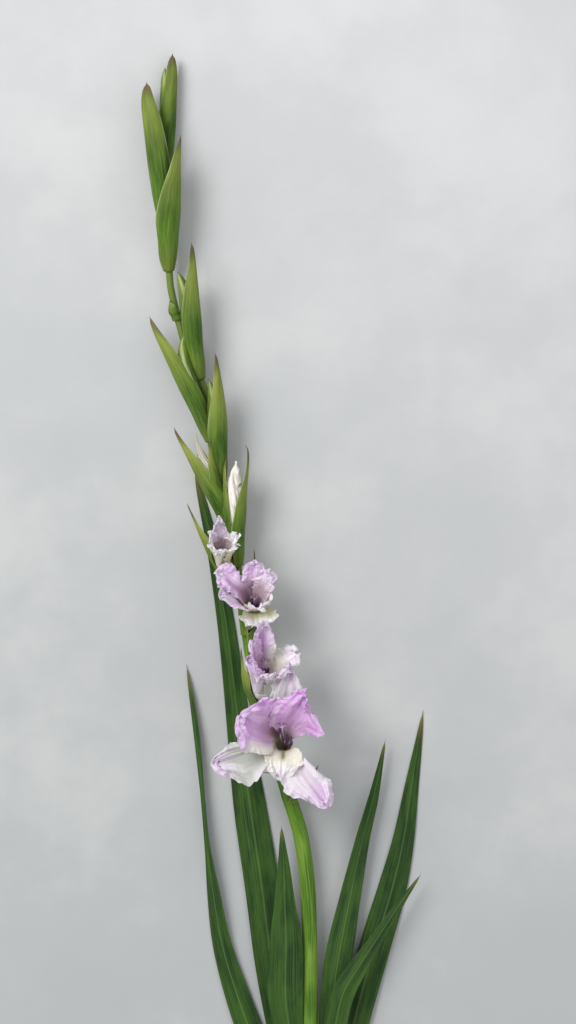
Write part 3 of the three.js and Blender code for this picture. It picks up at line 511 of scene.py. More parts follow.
class Finish:
    """A node material with short calls for the nodes used here."""

    def __init__(self, name, roughness, specular):
        self.material = bpy.data.materials.new(name)
        self.material.use_nodes = True
        self.tree = self.material.node_tree
        self.shader = self.tree.nodes["Principled BSDF"]
        self.shader.inputs["Roughness"].default_value = roughness
        self.shader.inputs["Specular IOR Level"].default_value = specular
        self.place = None

    def put(self, kind, inputs=(), **settings):
        made = self.tree.nodes.new(kind)
        for key, value in settings.items():
            setattr(made, key, value)
        for key, value in dict(inputs).items():
            self.feed(made.inputs[key], value)
        return made

    def feed(self, socket, value):
        if isinstance(value, bpy.types.NodeSocket):
            self.tree.links.new(value, socket)
        else:
            socket.default_value = value

    def mark(self, name):
        """A vector mark's three numbers."""
        vector = self.put("ShaderNodeAttribute", attribute_name=name).outputs["Vector"]
        return tuple(self.put("ShaderNodeSeparateXYZ", {0: vector}).outputs)

    def calc(self, operation, a, b):
        return self.put("ShaderNodeMath", {0: a, 1: b}, operation=operation).outputs[0]

    def times(self, a, b):
        return self.calc("MULTIPLY", a, b)

    def noise(self, vector, scale, detail=3.0, roughness=0.5):
        inputs = {"Vector": vector, "Scale": scale, "Detail": detail, "Roughness": roughness}
        return self.put("ShaderNodeTexNoise", inputs).outputs["Fac"]

    def grain(self, wide, long, scale, detail=3.0):
        """Noise drawn out along a piece: wide and long are how fast it changes across and along it."""
        self.place = self.place or self.mark("place")
        across, along, seed = self.place
        inputs = {0: self.times(across, wide), 1: self.times(along, long), 2: seed}
        return self.noise(self.put("ShaderNodeCombineXYZ", inputs).outputs[0], scale, detail)

    def spread(self, value, low, high, to_low=0.0, to_high=1.0):
        inputs = {0: value, 1: low, 2: high, 3: to_low, 4: to_high}
        return self.put("ShaderNodeMapRange", inputs, interpolation_type="SMOOTHSTEP").outputs[0]

    def mix(self, share, *colours):
        """Two colours, given as codes or sockets, mixed by the share of the second."""
        a, b = [hex_colour(colour) if isinstance(colour, str) else colour for colour in colours]
        return self.put("ShaderNodeMix", {0: share, 6: a, 7: b}, data_type="RGBA").outputs[2]

    def over(self, base, *layers):
        """Layers laid over a base colour, each given as the share of it that shows and its colour."""
        for share, colour in layers:
            base = self.mix(share, base, colour)
        return base

    def bump(self, height, strength):
        inputs = {"Height": height, "Strength": strength, "Distance": BUMP_DEPTH}
        self.feed(self.shader.inputs["Normal"], self.put("ShaderNodeBump", inputs).outputs["Normal"])

    def soften(self, weight, scale, colour):
        """Lets a little light through thin living tissue."""
        self.shader.inputs["Subsurface Weight"].default_value = weight
        self.shader.inputs["Subsurface Scale"].default_value = scale
        self.shader.inputs["Subsurface Radius"].default_value = colour

    def finish(self, colour):
        self.feed(self.shader.inputs["Base Color"], colour)
        return self.material


def leaf_finish():
    """Sword leaves: parallel veins, lighter ribs and slow drifts between blue-green and yellow-green."""
    f = Finish("leaf_green", 0.5, 0.18)
    pale, dry, _ = f.mark("tints")
    drift = f.grain(0.8, 6.0, 1.6)
    streak = f.grain(12.0, 1.6, 1.0)
    hair = f.grain(52.0, 5.0, 1.0, 2.0)
    f.bump(hair, 0.5)
    f.soften(0.08, 0.001, (0.5, 1.0, 0.2))
    f.feed(f.shader.inputs["Roughness"], f.spread(streak, 0.3, 0.7, 0.42, 0.58))
    colour = f.over(
        f.mix(f.spread(drift, 0.35, 0.65), "#173715", "#34551b"),
        (f.spread(streak, 0.5, 0.72, 0.0, 0.28), "#55763a"),
        (f.spread(streak, 0.28, 0.48, 0.4, 0.0), "#10270d"),
        (f.spread(hair, 0.45, 0.62, 0.0, 0.24), "#6c8a48"),
        (pale, "#83a256"),
        (f.times(dry, f.spread(hair, 0.3, 0.6, 0.6, 1.0)), "#8a7a45"),
    )
    return f.finish(colour)


def bract_finish():
    """Bracts and closed buds: green, olive towards a dry brown tip, with a pale thin margin."""
    f = Finish("bract_green", 0.5, 0.18)
    dry, margin, warm = f.mark("tints")
    drift = f.grain(1.1, 2.0, 1.5)
    streak = f.grain(7.0, 1.2, 1.0)
    hair = f.grain(30.0, 4.0, 1.0, 2.0)
    f.bump(hair, 0.35)
    f.soften(0.1, 0.001, (0.6, 1.0, 0.3))
    f.feed(f.shader.inputs["Roughness"], f.spread(streak, 0.3, 0.7, 0.42, 0.58))
    brown = f.mix(f.spread(streak, 0.35, 0.65), "#574634", "#847352")
    colour = f.over(
        f.mix(f.spread(drift, 0.35, 0.65), "#34560f", "#547620"),
        (f.spread(streak, 0.48, 0.7, 0.0, 0.28), "#7d9338"),
        (f.spread(streak, 0.3, 0.45, 0.22, 0.0), "#24420c"),
        (f.times(warm, f.spread(drift, 0.3, 0.7, 0.6, 1.0)), "#989e48"),
        (f.spread(hair, 0.48, 0.64, 0.0, 0.16), "#b2bc76"),
        (f.times(margin, f.spread(hair, 0.3, 0.6, 0.5, 0.9)), "#c2cc98"),
        (f.times(dry, f.spread(hair, 0.25, 0.55, 0.75, 1.0)), brown),
    )
    return f.finish(colour)


def stalk_finish():
    """The stalk: bright green with fine lengthwise lines, and pale pith where it is cut."""
    f = Finish("stalk_green", 0.45, 0.2)
    cut, brown, _ = f.mark("tints")
    drift = f.grain(1.0, 14.0, 1.5)
    hair = f.grain(16.0, 24.0, 1.0)
    f.bump(hair, 0.4)
    f.soften(0.08, 0.001, (0.6, 1.0, 0.3))
    colour = f.over(
        f.mix(f.spread(drift, 0.35, 0.65), "#436d18", "#6c912d"),
        (f.spread(hair, 0.42, 0.66, 0.0, 0.5), "#8fac49"),
        (f.times(brown, f.spread(hair, 0.3, 0.65, 0.4, 1.0)), "#6f6a3c"),
        (cut, f.mix(f.spread(hair, 0.4, 0.6), "#dfe6c0", "#c3d295")),
    )
    return f.finish(colour)


def petal_finish():
    """Petals: white to lilac with fine streaks from the throat, cream and dusky purple near it. Painted
    shade darkens the deep throat and the tube, greys tepals in another's shade and greens the folds of
    furled petals.
    """
    f = Finish("petal", 0.5, 0.3)
    lilac, cream, dusk = f.mark("tints")
    green, deep, painted_shade = f.mark("shades")
    streak = f.grain(5.0, 1.3, 1.4)
    hair = f.grain(26.0, 2.5, 1.0)
    mottle = f.grain(2.0, 3.0, 2.2)
    f.bump(hair, 0.35)
    f.soften(0.25, 0.0015, (1.0, 0.75, 0.9))
    f.shader.inputs["Sheen Weight"].default_value = 0.15
    amount = f.calc("ADD", lilac, f.spread(streak, 0.3, 0.7, -0.18, 0.18))
    amount = f.times(amount, f.spread(mottle, 0.3, 0.7, 0.85, 1.06))
    amount = f.calc("ADD", amount, f.times(lilac, f.spread(hair, 0.35, 0.65, -0.06, 0.06)))
    amount = f.calc("MAXIMUM", f.calc("MINIMUM", amount, 1.0), 0.0)
    colour = f.over(
        f.mix(amount, "#f8f6f7", "#dba6e2"),
        (deep, "#b163b6"),
        (cream, "#f6f0ca"),
        # Painted shade: a grey cast over the middle of a tepal that lies in another tepal's shade, such as
        # the dorsal tepal of floret_1
        (painted_shade, "#afb3a9"),
        (f.times(dusk, f.spread(hair, 0.3, 0.7, 0.8, 1.0)), "#84506a"),
        # Painted shade: where the dusk is strongest, deep in the throat and inside the tube, it turns near
        # black-red for the shade of the hollow
        (f.spread(dusk, 0.65, 0.95, 0.0, 0.8), "#4a2426"),
        # Olive of the throat, guides and yellowed walls, and on furled petals also painted shade in the
        # valleys of their crumples
        (f.times(green, f.spread(streak, 0.3, 0.6, 0.7, 1.0)), "#7c7c26"),
    )
    return f.finish(colour)


def stamen_finish():
    """Stamens: dark purple anthers with pale pollen on pale lilac filaments, which carry painted shade where
    they stand in the throat.
    """
    f = Finish("stamen", 0.6, 0.3)
    anther, pollen, dusk = f.mark("tints")
    grain = f.grain(9.0, 22.0, 2.0, 4.0)
    f.bump(grain, 0.5)
    dusted = f.times(pollen, f.spread(grain, 0.45, 0.6))
    # Painted shade: the dusk mark darkens the filaments where they stand in the throat
    base = f.mix(dusk, "#d8bfd8", "#7a4f5c")
    return f.finish(f.over(base, (anther, "#5f3768"), (dusted, "#b79abf")))


def style_finish():
    """The style: pale lilac, a little darker along its feathery lobes, with painted shade where it stands in
    the throat.
    """
    f = Finish("style", 0.55, 0.3)
    lobe, _, dusk = f.mark("tints")
    grain = f.grain(6.0, 8.0, 2.0)
    f.bump(grain, 0.3)
    base = f.mix(lobe, "#e2cfe6", "#b387b6")
    # Painted shade: the dusk mark darkens the style's foot and its lobes, as deep as the throat they stand
    # in
    return f.finish(f.over(base, (dusk, "#7a4f5c"), (f.spread(grain, 0.4, 0.7, 0.0, 0.4), "#e9d6ea")))


FINISHES = dict(
    leaf=leaf_finish(),
    bract=bract_finish(),
    stalk=stalk_finish(),
    petal=petal_finish(),
    stamen=stamen_finish(),
    style=style_finish(),
)


# The stalk

stalk = through(STALK)
STALK_TOP = STALK[-1][0]


def make_scape():
    """A round stalk with faint ribs, a swelling under each bud, and a clean cut at its lower end."""
    y, angle = column(CUT_Y, STALK_TOP, SCAPE_GRID[0]), full_turn(SCAPE_GRID[1])
    cut = np.array([[0.0], [0.35], [0.7], [0.93], [0.985]])  # rings of the cut face, as shares of the radius
    spine = spine_along(point_on(stalk, y), heading_on(stalk, y))
    swell = sum(bell((y - bud["y"]) / 3.5) for bud in [*BUDS, STUB])
    radius = stalk(y)[..., 2] * (1 + 0.06 * swell)
    rings = wrapped(spine, radius * (1 + 0.012 * np.cos(9 * angle)), angle)
    face = spine[0][0] + (radius[0] * cut)[..., None] * around(spine, angle)[:1]
    face[1:-1, :, 1] += CUT_HOLLOW
    pith = np.concatenate([np.ones_like(cut), np.zeros_like(y)])
    y = np.concatenate([np.full_like(cut, CUT_Y), y])
    where = vectors(angle / np.pi - 1, (y - CUT_Y) / (STALK_TOP - CUT_Y), 3.0)
    tints = vectors(pith, 0.55 * smooth(y, 440, 620), 0 * angle)
    piece("scape", [pipe(np.concatenate([face, rings]), dict(place=where, tints=tints))], "stalk")


# Leaves


def make_sheath(leaf, seed):
    """A leaf's base round the stalk, whose edges draw back to the keel towards its upper end."""
    inner = SHEATH_INNER + leaf["layer"] * SHEATH_STEP
    start, end = leaf["base"]
    level = start + leaf["flat"]
    y, t = column(start, end, SHEATH_GRID[0]), row(0, 1, SHEATH_GRID[1])
    across = lerp(*leaf["wrap"], t)
    angle = np.radians(lerp(leaf["keel"], across, lerp(1, 0.16, smooth(y, level, end) ** 0.8)))
    spine = (point_on(stalk, y), RIGHT, UP)
    side = np.abs(2 * t - 1)
    edge = 1 - side**10
    veins = 0.07 * np.cos(2 * np.pi * 11 * t) * edge
    outer = wrapped(spine, inner + 0.15 + (SHEATH_WALL - 0.15) * edge + veins, angle)
    pale = 0.5 * fade(y, start, level + 60) + 0.25 * side**6
    marks = dict(place=vectors(across / 90, (y - start) / GRAIN_LENGTH, seed), tints=vectors(pale, 0.0, 0.0))
    return plate(outer, wrapped(spine, inner, angle), marks)


def make_blade(leaf, seed):
    """A leaf's blade: a long sword with a raised middle, parallel veins and thin edges."""
    path = through(leaf["blade"])
    first, last = leaf["blade"][0][0], leaf["blade"][-1][0]
    y, b = column(first, last, BLADE_GRID[0]), row(-1, 1, BLADE_GRID[1])
    half, twist = path(y)[..., 2], path(y)[..., 3]
    share = (y - first) / (last - first)
    half = np.maximum(half * fade(share, 0.975, 1.0), 0.06)
    along = heading_on(path, y)
    across = turned(square_to(RIGHT, along), along, -np.radians(twist))
    normal = np.cross(across, along)
    bold = np.minimum(1, half / 6)
    side = np.abs(b)
    sway = 0.25 * np.sin(y / 17 + seed) * side**2 * bold
    relief = bold * (0.3 * np.cos(2 * np.pi * b) + 0.07 * np.cos(2 * np.pi * 8 * b)) + sway
    thick = lerp(0.55, 0.16, side**1.5) * np.sqrt(np.maximum(1 - side**14, 0.02))
    thick = np.minimum(thick, np.maximum(half * 0.5, 0.05))
    flat = point_on(path, y) + (half * b)[..., None] * across
    front = flat + (relief + thick)[..., None] * normal
    back = flat + (relief - thick)[..., None] * normal
    pale = 0.3 * bell(b / 0.05) + 0.3 * fade(share, 0.0, 0.2)
    where = vectors(b, share * (last - first) / GRAIN_LENGTH, seed)
    return plate(front, back, dict(place=where, tints=vectors(pale, 0.8 * smooth(share, 0.93, 1.0), 0.0)))


def make_leaves():
    for number, (name, leaf) in enumerate(LEAVES.items()):
        seed = 1.7 * number + 0.4
        piece(name, [make_sheath(leaf, seed), make_blade(leaf, seed)], "leaf")


# Bracts and buds


def bud_axis(bud, tip=None):
    """The middle line of a bud's outer bract, or of another one that ends at its own tip."""
    start = point_on(stalk, bud["y"])
    outer = np.array(bud["tip"], float)
    bend = (start + outer) / 2 - bud["side"] * bud["bow"] * RIGHT + bud["lift"] * UP
    return bezier([start, lerp(start, bend, 2 / 3), lerp(outer, bend, 2 / 3), tip or bud["tip"]])


def bud_radius(bud):
    """The outer bract's radius for each share of its length."""
    foot = (float(stalk(bud["y"])[2]) + GAP) / FACET + SLACK + BRACT_WALL
    wide = bud["radius"]
    rows = [(share, wide * lerp(sharp, blunt, bud["blunt"])) for share, sharp, blunt in BUD_PROFILE]
    return through([(0, foot), (0.1, lerp(foot, wide, 0.5)), *rows, (1, BRACT_TIP)])


def within(radius, layers):
    """The radius left inside a number of bracts."""
    for _ in range(layers):
        radius = (radius - BRACT_WALL) * FACET - GAP - SLACK
    return np.maximum(radius, BRACT_TIP)


def outward_of(side, rise):
    return swung(side * RIGHT, UP, rise)


def beside_stalk(points, depth):
    """Moves points that lie inside the stalk out to its surface."""
    y = np.clip(points[..., 1], CUT_Y, STALK_TOP)
    found = stalk(y)
    away = vectors(points[..., 0] - found[..., 0], 0.0, points[..., 2] - found[..., 1])
    far = np.linalg.norm(away, axis=-1)
    short = np.maximum(found[..., 2] + GAP + depth - far, 0) * (points[..., 1] < STALK_TOP)
    return points + away / np.maximum(far, 1e-6)[..., None] * short[..., None]


def cup_balls(bud, flower):
    """The middles and radii of balls that together fill a flower's tube and cup."""
    mouth, facing, _, _ = flower_frame(flower)
    share = np.linspace(CUP_FROM, 1, CUP_BALLS)
    high = np.linspace(-flower["depth"], 0, CUP_BALLS)
    cup = mouth + high[:, None] * facing
    flare = tepal_foot(flower) + (high + flower["depth"]) * math.tan(math.radians(FOOT_LEAN))
    middles = np.concatenate([tube_curve(bud, flower)(share)[0], cup])
    return middles, np.concatenate([tube_size(flower)(share), flare])


def parted(points, balls):
    """The share of each row of points that comes before the first point inside the balls."""
    middles, radii = balls
    far = np.linalg.norm(points[:, :, None] - middles, axis=-1)
    inside = (far < radii + CUP_CLEAR).any(axis=-1)
    share = np.where(inside.any(axis=1), inside.argmax(axis=1) / (points.shape[1] - 1), 1.0)
    padded = np.pad(share, PARTED_REACH, mode="edge")
    least = np.min([padded[i : i + len(share)] for i in range(2 * PARTED_REACH + 1)], axis=0)
    blur = np.full(2 * PARTED_BLUR + 1, 1 / (2 * PARTED_BLUR + 1))
    even = np.convolve(np.pad(least, PARTED_BLUR, mode="edge"), blur, "valid")
    return np.maximum(even, PARTED_LEAST)[:, None]


def make_bract(kind, axis, size, away, wrap, seed, age, balls=None):
    """A boat-shaped sheath with a keel, parallel veins, thin margins and a pointed tip.

    Where the balls of a flower's cup are given, its margins stop short of them.
    """
    t, b = column(*SPAN[kind], BRACT_GRID[0]), row(-1, 1, BRACT_GRID[1])
    side = np.abs(b)
    spine = spine_along(*axis(t), away)
    reach = np.radians(lerp(*wrap, smooth(t, 0.25, 1))) * (1 + 0.025 * np.sin(23 * t + seed))
    radius = size(t) * (1 - 0.8 * smooth(t, 0.96, 1.0))
    edge = 1 - side**8
    veins = 0.07 * np.cos(2 * np.pi * 6 * b) * edge
    flare = 0.5 * side**8 * np.sin(17 * t + seed)
    outer = radius + np.minimum(1, radius / 4) * (veins + 0.3 * bell(b / 0.05) + flare)
    wall = np.minimum(lerp(0.2, 0.6, edge), radius * 0.6)
    turn = b * reach
    if balls:
        for sign in (-1, 1):
            kept = parted(wrapped(spine, radius, sign * reach * row(0, 1, PARTED_STEPS)), balls)
            turn = np.where(sign * b > 0, turn * kept, turn)
    front = beside_stalk(wrapped(spine, outer, turn), 0.0)
    back = beside_stalk(wrapped(spine, outer - wall, turn), 0.25)
    share = (t - t[0]) / (t[-1] - t[0])
    return plate(front, back, dict(place=vectors(b, share, seed), tints=bract_tints(b, share, kind, age)))


def bract_tints(b, share, kind, age):
    """How dry, how pale at the margin and how yellow a bract is at each place."""
    dry = smooth(share + 0.05 * np.abs(b), DRY_FROM[kind] - 0.12 * age, 1.0)
    margin = 0.7 * smooth(np.abs(b), 0.92, 0.99)
    olive = np.minimum(0.45 + 0.9 * age, 1.0) * smooth(share, 0.35 - 0.15 * age, 0.85) * (1 - dry)
    return vectors(dry, margin, olive + 0.4 * fade(share, 0.0, 0.25))


def core_radius(bud, layers):
    """The radius inside a number of a bud's bracts, for each share of the closed part's length."""
    profile = bud_radius(bud)

    def at(t):
        size = within(profile(lerp(*SPAN["closed"], t)), layers) * smooth(t, -0.12, 0.14)
        return np.maximum(size, 0.5)

    return at


def closed_bud(bud, seed):
    """The inner bract of a closed bud: a spindle whose lapped edge winds round it."""
    room = core_radius(bud, 1)

    def skin(t, angle):
        turn = (angle / (2 * np.pi) + 0.25 * t) % 1.0
        lap = CLOSED_LAP * (turn**0.6 - 0.5) * fade(turn, 0.93, 1.0)
        size = room(t) * (1 - 0.7 * smooth(t, 0.95, 1.0))
        margin = 0.7 * smooth(turn, 0.84, 0.9) * fade(turn, 0.94, 0.98)
        olive = 0.5 * smooth(t, 0.4, 0.85) + 0.3 * fade(t, 0.05, 0.3)
        return size * (1 + lap + 0.012 * np.cos(14 * angle)), (smooth(t, 0.92, 1.0), margin, olive)

    return rod(bud_axis(bud, bud["inner_tip"]), CLOSED_BUD_GRID, skin, span=SPAN["closed"], seed=seed)


def furled_petals(bud, seed):
    """Rolled and crumpled petals that show between the bracts, white or still greenish, with greenish
    painted shade in the valleys of their crumples.
    """
    room = core_radius(bud, 2)

    def crumple(t, angle):
        ridges = 1 - 2 * np.abs(ripple(3.5 * np.sin(angle + seed) + 12 * t, 5 * np.cos(angle) + 4 * t))
        fine = 1 - 2 * np.abs(ripple(7 * angle + 22 * t, seed)) * np.sin(angle / 2) ** 2
        return ridges * smooth(t, 0.3, 0.6) + 0.7 * fine

    def skin(t, angle):
        turn = (angle * 3 / (2 * np.pi) + 1.1 * t) % 1.0
        lap = 0.2 * (turn**0.7 - 0.5) * fade(turn, 0.9, 1.0)
        size = room(t) * (1 + lap + 0.26 * crumple(t, angle))
        return size, (0.05 + 0.25 * smooth(turn, 0.75, 0.95), 0.35, 0.0)

    axis = bud_axis(bud, PETAL_TIPS[bud["name"]])
    made = rod(axis, FURLED_GRID, skin, span=SPAN["closed"], seed=seed)
    t, angle = column(0, 1, FURLED_GRID[0]), full_turn(FURLED_GRID[1])
    # Painted shade: olive in the valleys of the crumples, with the real green of unripe ends added to it
    green = 0.45 * smooth(-crumple(t, angle), 0.1, 0.9) + UNRIPE[bud["name"]] * smooth(t, 0.5, 0.75)
    made["marks"]["shades"] = np.zeros_like(made["points"])
    made["marks"]["shades"][:-2, 0] = green.ravel()
    return made


def make_bud(number, bud):
    """The two bracts of a flower or bud, and what the bracts of a bud hold."""
    name = bud["name"]
    seed = 2.3 * number + 5.1
    age = 1 - number / (len(BUDS) - 1)
    profile = bud_radius(bud)
    away = outward_of(bud["side"], bud["rise"])
    balls = cup_balls(bud, FLOWERS[name]) if name in FLOWERS else None
    outer = make_bract("outer", bud_axis(bud), profile, away, bud["wrap"], seed, age, balls)
    piece(f"{name}_outer_bract", [outer], "bract")
    if name in FLOWERS or name in PETAL_TIPS:
        back = outward_of(-bud["side"], bud["rise"] + INNER_TURN)
        axis = bud_axis(bud, bud["inner_tip"])
        wrap = PARTED_WRAPS.get(name, INNER_WRAP)
        inner = make_bract("inner", axis, lambda t: within(profile(t), 1), back, wrap, seed + 1, age, balls)
    else:
        inner = closed_bud(bud, seed + 1)
    piece(f"{name}_inner_bract", [inner], "bract")
    if name in PETAL_TIPS:
        piece(f"{name}_petals", [furled_petals(bud, seed + 2)], "petal")


def make_buds():
    for number, bud in enumerate(BUDS):
        make_bud(number, bud)
    away = outward_of(STUB["side"], STUB["rise"])
    stub = make_bract("outer", bud_axis(STUB), bud_radius(STUB), away, STUB["wrap"], 40.0, 0.2)
    piece("stub_bract", [stub], "bract")


# Open flowers

# How olive and how dusky the bottom of each flower's throat is, and how far up its tepals the dusk reaches
# Dusk is partly the throat's own dusky purple and partly painted shade of its hollow, darkest inside the
# tube.
THROATS = {
    "floret_1": dict(olive=0.62, dusk=0.3, reach=0.75),
    "floret_2": dict(olive=0.1, dusk=0.75, reach=0.25),
    "floret_3": dict(olive=0.05, dusk=0.95, reach=0.32),
    "floret_4": dict(olive=0.1, dusk=0.85, reach=0.16),
}

# The colours of each tepal, as shares from 0 to 1. Patch is pale cream on one side, on the clockwise one
# where it is below 0, and guide is an olive stripe out of the throat.
# The fifth colour is painted shade: a grey cast on tepals that lie in another tepal's shade.
PAINT_KEYS = ("lilac", "edging", "cream", "dusk", "painted_shade", "deep", "moss", "patch", "guide")
PAINTS = {
    "floret_1": [
        (0.2, 0.35, 0, 0.3, 0.9, 0, 0, 0, 0), (0.12, 0.45, 0.1, 0, 1, 0, 0, 0.3, 0),
        (0.2, 0.6, 0.1, 0, 0.1, 0.2, 0, 0, 0), (0.8, 0.8, 0, 1, 0, 0.1, 0, 0.8, 0),
        (0.85, 0.9, 0, 0.75, 0, 0.25, 0, 0, 0), (0, 0, 0.6, 0.1, 0, 0, 0, 0, 0.9),
    ],
    "floret_2": [
        (0.55, 0.6, 0, 0.25, 0, 0.7, 0, -0.8, 0), (0.5, 0.8, 0.1, 0.2, 0, 0.4, 0, 0, 0),
        (0.25, 0.5, 0.4, 0.2, 0, 0, 0.4, 0, 0), (0.75, 0.7, 0, 0.3, 0, 0.7, 0, 0, 0),
        (0.05, 0.35, 0.5, 0.2, 0, 0, 0, 0, 0), (0.2, 0.45, 0.6, 0.2, 0, 0, 0.6, 0, 0),
    ],
    "floret_3": [
        (0.5, 0.6, 0, 0.95, 0, 0.2, 0, 0, 0), (0.4, 0.6, 0, 0.3, 0, 0.2, 0, 0, 0),
        (0, 0.1, 0.4, 0, 0, 0, 0.8, 0, 0), (0.6, 0.65, 0, 0.95, 0, 0.5, 0, 0, 0),
        (0.3, 0.4, 0.1, 0.75, 0, 0, 0, 0, 0), (0.1, 0.1, 0.8, 0.3, 0, 0, 1, 0, 0),
    ],
    "floret_4": [
        (0.35, 0.45, 0, 0.75, 0.2, 0, 0, 0, 0), (0.05, 0.2, 0.3, 0.75, 0, 0, 0.5, 0, 0),
        (0.05, 0.15, 0.4, 0.75, 0, 0, 1, 0, 0), (0.15, 0.3, 0.1, 0.85, 0, 0, 0.3, 0, 0),
        (0, 0.1, 0.3, 0.75, 0, 0, 0.4, 0, 0), (0, 0.1, 0.5, 0.75, 0, 0, 1, 0, 0),
    ],
}


def flower_frame(flower):
    """The mouth of a flower, the way it faces, and the two directions across it."""
    facing = unit(np.array(flower["facing"], float))
    top = square_to(ALONG, facing)
    return np.array(flower["mouth"], float), facing, top, np.cross(top, facing)


def from_mouth(flower, x, y, z):
    """A point given from the middle of a flower's mouth: across it, up it and out of it."""
    mouth, facing, top, side = flower_frame(flower)
    return mouth + x * side + y * top + z * facing


def tepal_foot(flower):
    return flower["throat"] * 0.72


def tube_curve(bud, flower):
    mouth, facing, _, _ = flower_frame(flower)
    start = bud_axis(bud)(TUBE_FROM)[0]
    on_stalk = stalk(start[1])
    start[2] = max(start[2], on_stalk[1] + on_stalk[2] + TUBE_FOOT + GAP + SLACK)
    rim = mouth - (flower["depth"] - TUBE_LAP) * facing
    rise = rim - start
    lead = start + rise[1] * 0.45 * ALONG + rise[2] * 0.1 * UP
    return bezier([start, lead, rim - (TUBE_TURN + rise[2] * 0.45) * facing, rim])


def tube_size(flower):
    """The tube's outer radius for each share of its length."""
    foot = tepal_foot(flower) + TUBE_WALL / 2
    rows = [(0, TUBE_FOOT), (0.4, 2.8), (0.68, lerp(2.8, foot, 0.7)), (0.9, foot + 0.1), (1, foot + 0.6)]
    return through(rows)


def make_tube(bud, flower, throat):
    """The flower's tube: a cup open at the mouth, dusky and olive inside. The dusk inside is partly painted
    shade of the deep hollow.
    """
    outside, inside, sides = TUBE_GRID
    t = np.concatenate([column(0, 1, outside), column(1, THROAT_FLOOR, inside)])
    within_tube = np.repeat([[0.0], [1.0]], (outside, inside), axis=0)
    angle = full_turn(sides)
    spine = spine_along(*tube_curve(bud, flower)(t))
    radius = (tube_size(flower)(t) - TUBE_WALL * within_tube) * (1 + 0.025 * np.cos(6 * angle))
    facing_up = smooth(around(spine, angle) @ flower_frame(flower)[2], -0.7, 0.3)
    upper = within_tube * facing_up * smooth(t, 0.84, 0.97)
    green = np.where(within_tube > 0, throat["olive"] * (1 - 0.8 * upper), 0.55 * fade(t, 0.5, 1.0))
    # The dusk inside the tube is partly painted shade of the hollow.
    marks = dict(
        place=vectors(angle / np.pi - 1, t, 2.0),
        tints=vectors(0.25 + 0.5 * upper, 0.1, throat["dusk"] * within_tube),
        shades=vectors(green, 0.0, 0.0),
    )
    return pipe(wrapped(spine, radius, angle), marks)


def lean_line(start, depth, length, lean, t):
    """How far out and how high a tepal's middle line is at shares of its length, and its lean there."""
    fine = np.linspace(0, 1, LEAN_STEPS + 1)
    angle = np.radians(lean(fine))
    out = start + length * np.concatenate([[0], np.cumsum(np.sin(angle[:-1]))]) / LEAN_STEPS
    high = -depth + length * np.concatenate([[0], np.cumsum(np.cos(angle[:-1]))]) / LEAN_STEPS
    return np.interp(t, fine, out), np.interp(t, fine, high), np.interp(t, fine, angle)


def tepal_shape(flower, tepal, start):
    """A tepal's lean, its two half widths and its curl along its length."""
    foot = start * FOOT_WIDTH
    hood = tepal["hood"]
    lean = through([(0, FOOT_LEAN), *zip(LEAN_SHARES, tepal["leans"])])
    before = through([(0, foot), *zip(WIDTH_SHARES, tepal["before"])])
    after = through([(0, foot), *zip(WIDTH_SHARES, tepal["after"] or tepal["before"])])
    near = lerp(1 / flower["throat"], hood, 0.5)
    curl = through([(0, 1 / start), (0.3, near), (0.6, hood), (1, hood)])
    return lean, before, after, curl


def tepal_outline(tepal, t, b):
    """How a tepal's half width is drawn in by its rounded tip and its uneven edge."""
    phase = tepal["direction"] + 2.1 * np.sign(b)
    uneven = 0.08 * ripple(20 * t, phase) + 0.03 * ripple(47 * t, phase)
    tip = np.sqrt(np.maximum(1 - (np.maximum(t - 0.9, 0) / 0.1) ** 2, 0.0))
    return (1 + smooth(t, 0.25, 0.6) * np.abs(b) ** 3 * uneven) * tip


def tepal_relief(tepal, groove, t, b):
    """How far a tepal stands in front of its middle line: buckles, ruffles, lengthwise folds and veins."""
    seed, ruffle = tepal["direction"], tepal["ruffle"]
    edge = smooth(t, 0.3, 0.9)
    frill = np.maximum(smooth(t, 0.25, 0.6) * np.abs(b) ** 3, smooth(t, 0.85, 1.0))
    buckle = 1.5 * edge * np.abs(b) ** 1.6 * ripple(WAVES * np.pi * t + 1.3 * np.sign(b), seed)
    crinkle = frill * ripple(30 * t + 5 * b, seed + 2.1 * np.sign(b))
    crinkle = crinkle + 0.45 * frill * ripple(61 * t - 7 * b, seed + 1.3 * np.sign(b))
    sway = 0.9 * edge * ripple(5 * t + 2.5 * b, 2 * seed)
    fold = 1.5 * tepal["pleat"] * edge * ripple(6 * b + 1.2 * t, 1.7 * seed)
    midrib = -0.6 * bell(b / 0.09) * smooth(t, 0.15, 0.4) * fade(t, 0.75, 1.0)
    channel = -0.9 * bell(b / 0.2) * smooth(t, 0.15, 0.35) * fade(t, 0.4, 0.6)
    pleats = 0.55 * tepal["pleat"] * (0.5 - np.abs(ripple(11 * b + 1.5 * t, seed))) * smooth(t, 0.25, 0.7)
    veins = 0.03 * np.cos(26 * np.pi * b) * smooth(t, 0.05, 0.3)
    return ruffle * (buckle + crinkle + sway) + fold + pleats + lerp(midrib, channel, groove) + veins


